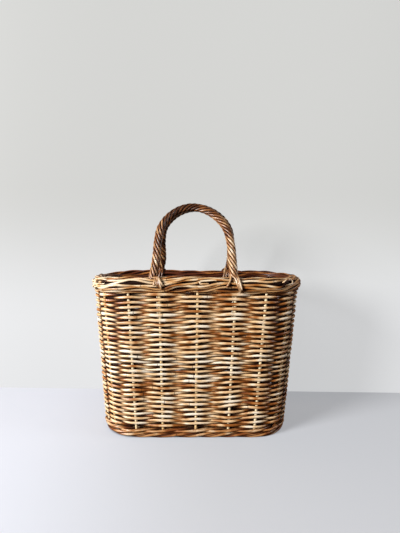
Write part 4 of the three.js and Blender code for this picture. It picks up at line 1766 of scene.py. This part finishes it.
@dataclass
class Studio:
    """Floor, backdrop, lamps and camera."""

    footprint: RoundedPlan
    focal_pixels: float = 400.0
    frame_height_pixels: float = 533.0
    sensor: float = 36.0
    camera_distance: float = 0.6676
    camera_height: float = 0.3282
    camera_shift_x: float = 0.0049
    turned: float = math.radians(-1.92)
    pitch: float = math.radians(5.12)
    roll: float = math.radians(0.78)
    wall_y: float = 0.133
    wall_turn: float = math.radians(-1.9)
    stage_reach: float = 4.0
    lamp_distance: float = 2.4
    lamp_aim: float = 0.15
    lamps: tuple[Lamp, ...] = (Lamp("key", 102.0, 0.9, -56, 20), Lamp("rim", 14.0, 0.8, 78, 22))
    fill_colour: str = "fff0e0"
    fill_strength: float = 0.06
    world_colour: str = "dadad8"
    shade_colour: str = "241a12"
    shade_edge: float = 0.004
    floor_paint: StagePaint = StagePaint(
        name="Floor paint",
        upward=ColourChange("e5e9f3", "e5e9f3", 0.0, 1.0),
        # Painted light: the floor is brighter on the left, nearer the key lamp.
        tint=ColourChange("ffffff", "ebeae6", -0.30, 0.05),
        glow=0.5,
        bounce="4a3020",
    )
    wall_paint: StagePaint = StagePaint(
        name="Backdrop paint",
        # Painted light: the backdrop is brighter low down.
        upward=ColourChange("f2f4f6", "d9dad8", 0.12, 0.42),
        # Painted light: the backdrop is brighter towards the right.
        tint=ColourChange("ebebeb", "fbfbfb", -0.35, 0.35),
        glow=0.66,
        bounce="a8988a",
    )

    def surface(self, paint: StagePaint) -> bpy.types.Material:
        """A pale plain surface that is seen from its front only, with faint shadows and a painted shadow
        under the bag.

        Args:
            paint: Its colours.

        Returns:
            The material.
        """
        material = bpy.data.materials.new(paint.name)
        graph = NodeGraph.emptied(material)
        camera_ray = graph.add("ShaderNodeLightPath").outputs["Is Camera Ray"]
        geometry = graph.add("ShaderNodeNewGeometry").outputs
        place = graph.add("ShaderNodeSeparateXYZ", {0: geometry["Position"]})
        upward = paint.upward.build(graph, place.outputs["Z"])
        # Painted light from the change upwards on the backdrop and from the left-to-right change.
        shown = graph.product(upward, paint.tint.build(graph, place.outputs["X"]))
        # Painted shadow: the floor under the bag takes the dark shade colour.
        shown = graph.blend(self.painted_shadow_under_bag(graph, place), shown, linear(self.shade_colour))
        lit = graph.blend(camera_ray, linear(paint.bounce), shown)
        painted = graph.add("ShaderNodeBsdfDiffuse", {"Color": lit})
        glow = graph.add("ShaderNodeEmission", {"Color": shown, "Strength": 1.0})
        seen = graph.math("MULTIPLY", camera_ray, paint.glow)
        pale = graph.add("ShaderNodeMixShader", {0: seen, 1: painted.outputs[0], 2: glow.outputs[0]})
        clear = graph.add("ShaderNodeBsdfTransparent")
        mixed = graph.add(
            "ShaderNodeMixShader", {0: geometry["Backfacing"], 1: pale.outputs[0], 2: clear.outputs[0]}
        )
        graph.add("ShaderNodeOutputMaterial", {"Surface": mixed.outputs[0]})
        return material

    def painted_shadow_under_bag(self, graph: NodeGraph, place: bpy.types.Node) -> bpy.types.NodeSocket:
        """Mask of the painted shadow on the floor under the bag.

        Args:
            graph: Graph of the material.
            place: Node with the parts of the place in the room.

        Returns:
            A socket with 1 under the bag and 0 beside it.
        """
        plan = self.footprint
        squares = []
        for axis, half in (("X", plan.length / 2 - plan.corner), ("Y", plan.depth / 2 - plan.corner)):
            past = graph.math("SUBTRACT", graph.math("ABSOLUTE", place.outputs[axis]), half)
            squares.append(graph.math("POWER", graph.math("MAXIMUM", past, 0.0), 2.0))
        distance = graph.math("SQRT", graph.math("ADD", *squares))
        return graph.remap(distance, plan.corner - self.shade_edge, plan.corner + self.shade_edge, 1.0, 0.0)

    def add_plane(self, name: str, corners: list[tuple[float, float, float]], paint: StagePaint) -> None:
        """Adds a flat stage piece.

        Args:
            name: Its name.
            corners: Its corners, anticlockwise seen from its front.
            paint: Its paint.
        """
        mesh = bpy.data.meshes.new(name)
        mesh.from_pydata(corners, [], [tuple(range(len(corners)))])
        mesh.materials.append(self.surface(paint))
        new_object(name, mesh)

    def add_stage(self) -> None:
        """Adds the floor and the wall behind the bag."""
        far = self.stage_reach
        slant = far * math.tan(self.wall_turn)
        left = self.wall_y - slant
        right = self.wall_y + slant
        floor = [(-far, -far, 0), (far, -far, 0), (far, far, 0), (-far, far, 0)]
        back = [(-far, left, 0), (far, right, 0), (far, right, far), (-far, left, far)]
        self.add_plane("floor", floor, self.floor_paint)
        self.add_plane("backdrop", back, self.wall_paint)

    def add_lamp(self, lamp: Lamp) -> None:
        """Adds one lamp.

        Args:
            lamp: Its power, size and place.
        """
        data = bpy.data.lights.new(lamp.name, "AREA")
        data.shape = "DISK"
        data.size = lamp.size
        data.energy = lamp.power
        azimuth = math.radians(lamp.azimuth)
        elevation = math.radians(lamp.elevation)
        level = math.cos(elevation)
        towards = Vector((math.sin(azimuth) * level, -math.cos(azimuth) * level, math.sin(elevation)))
        placed = new_object(lamp.name, data)
        placed.location = Vector((0, 0, self.lamp_aim)) + towards * self.lamp_distance
        placed.rotation_euler = towards.to_track_quat("Z", "Y").to_euler()

    def add_fill(self) -> None:
        """Adds an even fill light and, for the camera only, a pale surrounding."""
        world = bpy.data.worlds.new("fill")
        bpy.context.scene.world = world
        graph = NodeGraph.emptied(world)
        lights = ((self.fill_colour, self.fill_strength), (self.world_colour, 1.0))
        fill, seen = (
            graph.add("ShaderNodeBackground", {"Color": linear(written), "Strength": strength})
            for written, strength in lights
        )
        camera_ray = graph.add("ShaderNodeLightPath").outputs["Is Camera Ray"]
        mixed = graph.add("ShaderNodeMixShader", {0: camera_ray, 1: fill.outputs[0], 2: seen.outputs[0]})
        graph.add("ShaderNodeOutputWorld", {"Surface": mixed.outputs[0]})

    def add_camera(self) -> None:
        """Adds the camera at the photograph's place."""
        data = bpy.data.cameras.new("camera")
        data.sensor_width = self.sensor
        data.lens = self.focal_pixels / self.frame_height_pixels * self.sensor
        camera = new_object("camera", data)
        turn = Euler((0, 0, self.turned)).to_matrix()
        tilt = Euler((math.pi / 2 - self.pitch, 0, 0)).to_matrix()
        lean = Euler((0, 0, self.roll)).to_matrix()
        camera.location = turn @ Vector((self.camera_shift_x, -self.camera_distance, self.camera_height))
        camera.rotation_euler = (turn @ tilt @ lean).to_euler()
        bpy.context.scene.camera = camera

    def build(self) -> None:
        """Makes the whole studio."""
        self.add_stage()
        for lamp in self.lamps:
            self.add_lamp(lamp)
        self.add_fill()
        self.add_camera()
        bpy.context.scene.view_settings.view_transform = "Standard"


def main() -> None:
    """Builds the bag and its studio in order."""
    logging.basicConfig(level=logging.INFO, format="%(message)s")
    wall = Wall()
    Studio(wall.base).build()
    finishes = FinishBox()
    for part in (Foot, Stakes, Base, Siding, Border):
        part(wall, finishes).build()
    Handle(wall, finishes, Face.FRONT, seed=71, foot_shifts=(-0.006, 0.0)).build()
    Handle(
        wall,
        finishes,
        Face.BACK,
        seed=83,
        spring_half_span=0.0616,
        bow_shift=0.0054,
        foot_shifts=(-0.003, 0.0035),
        darkness=0.28,
    ).build()


if __name__ == "__main__":
    main()
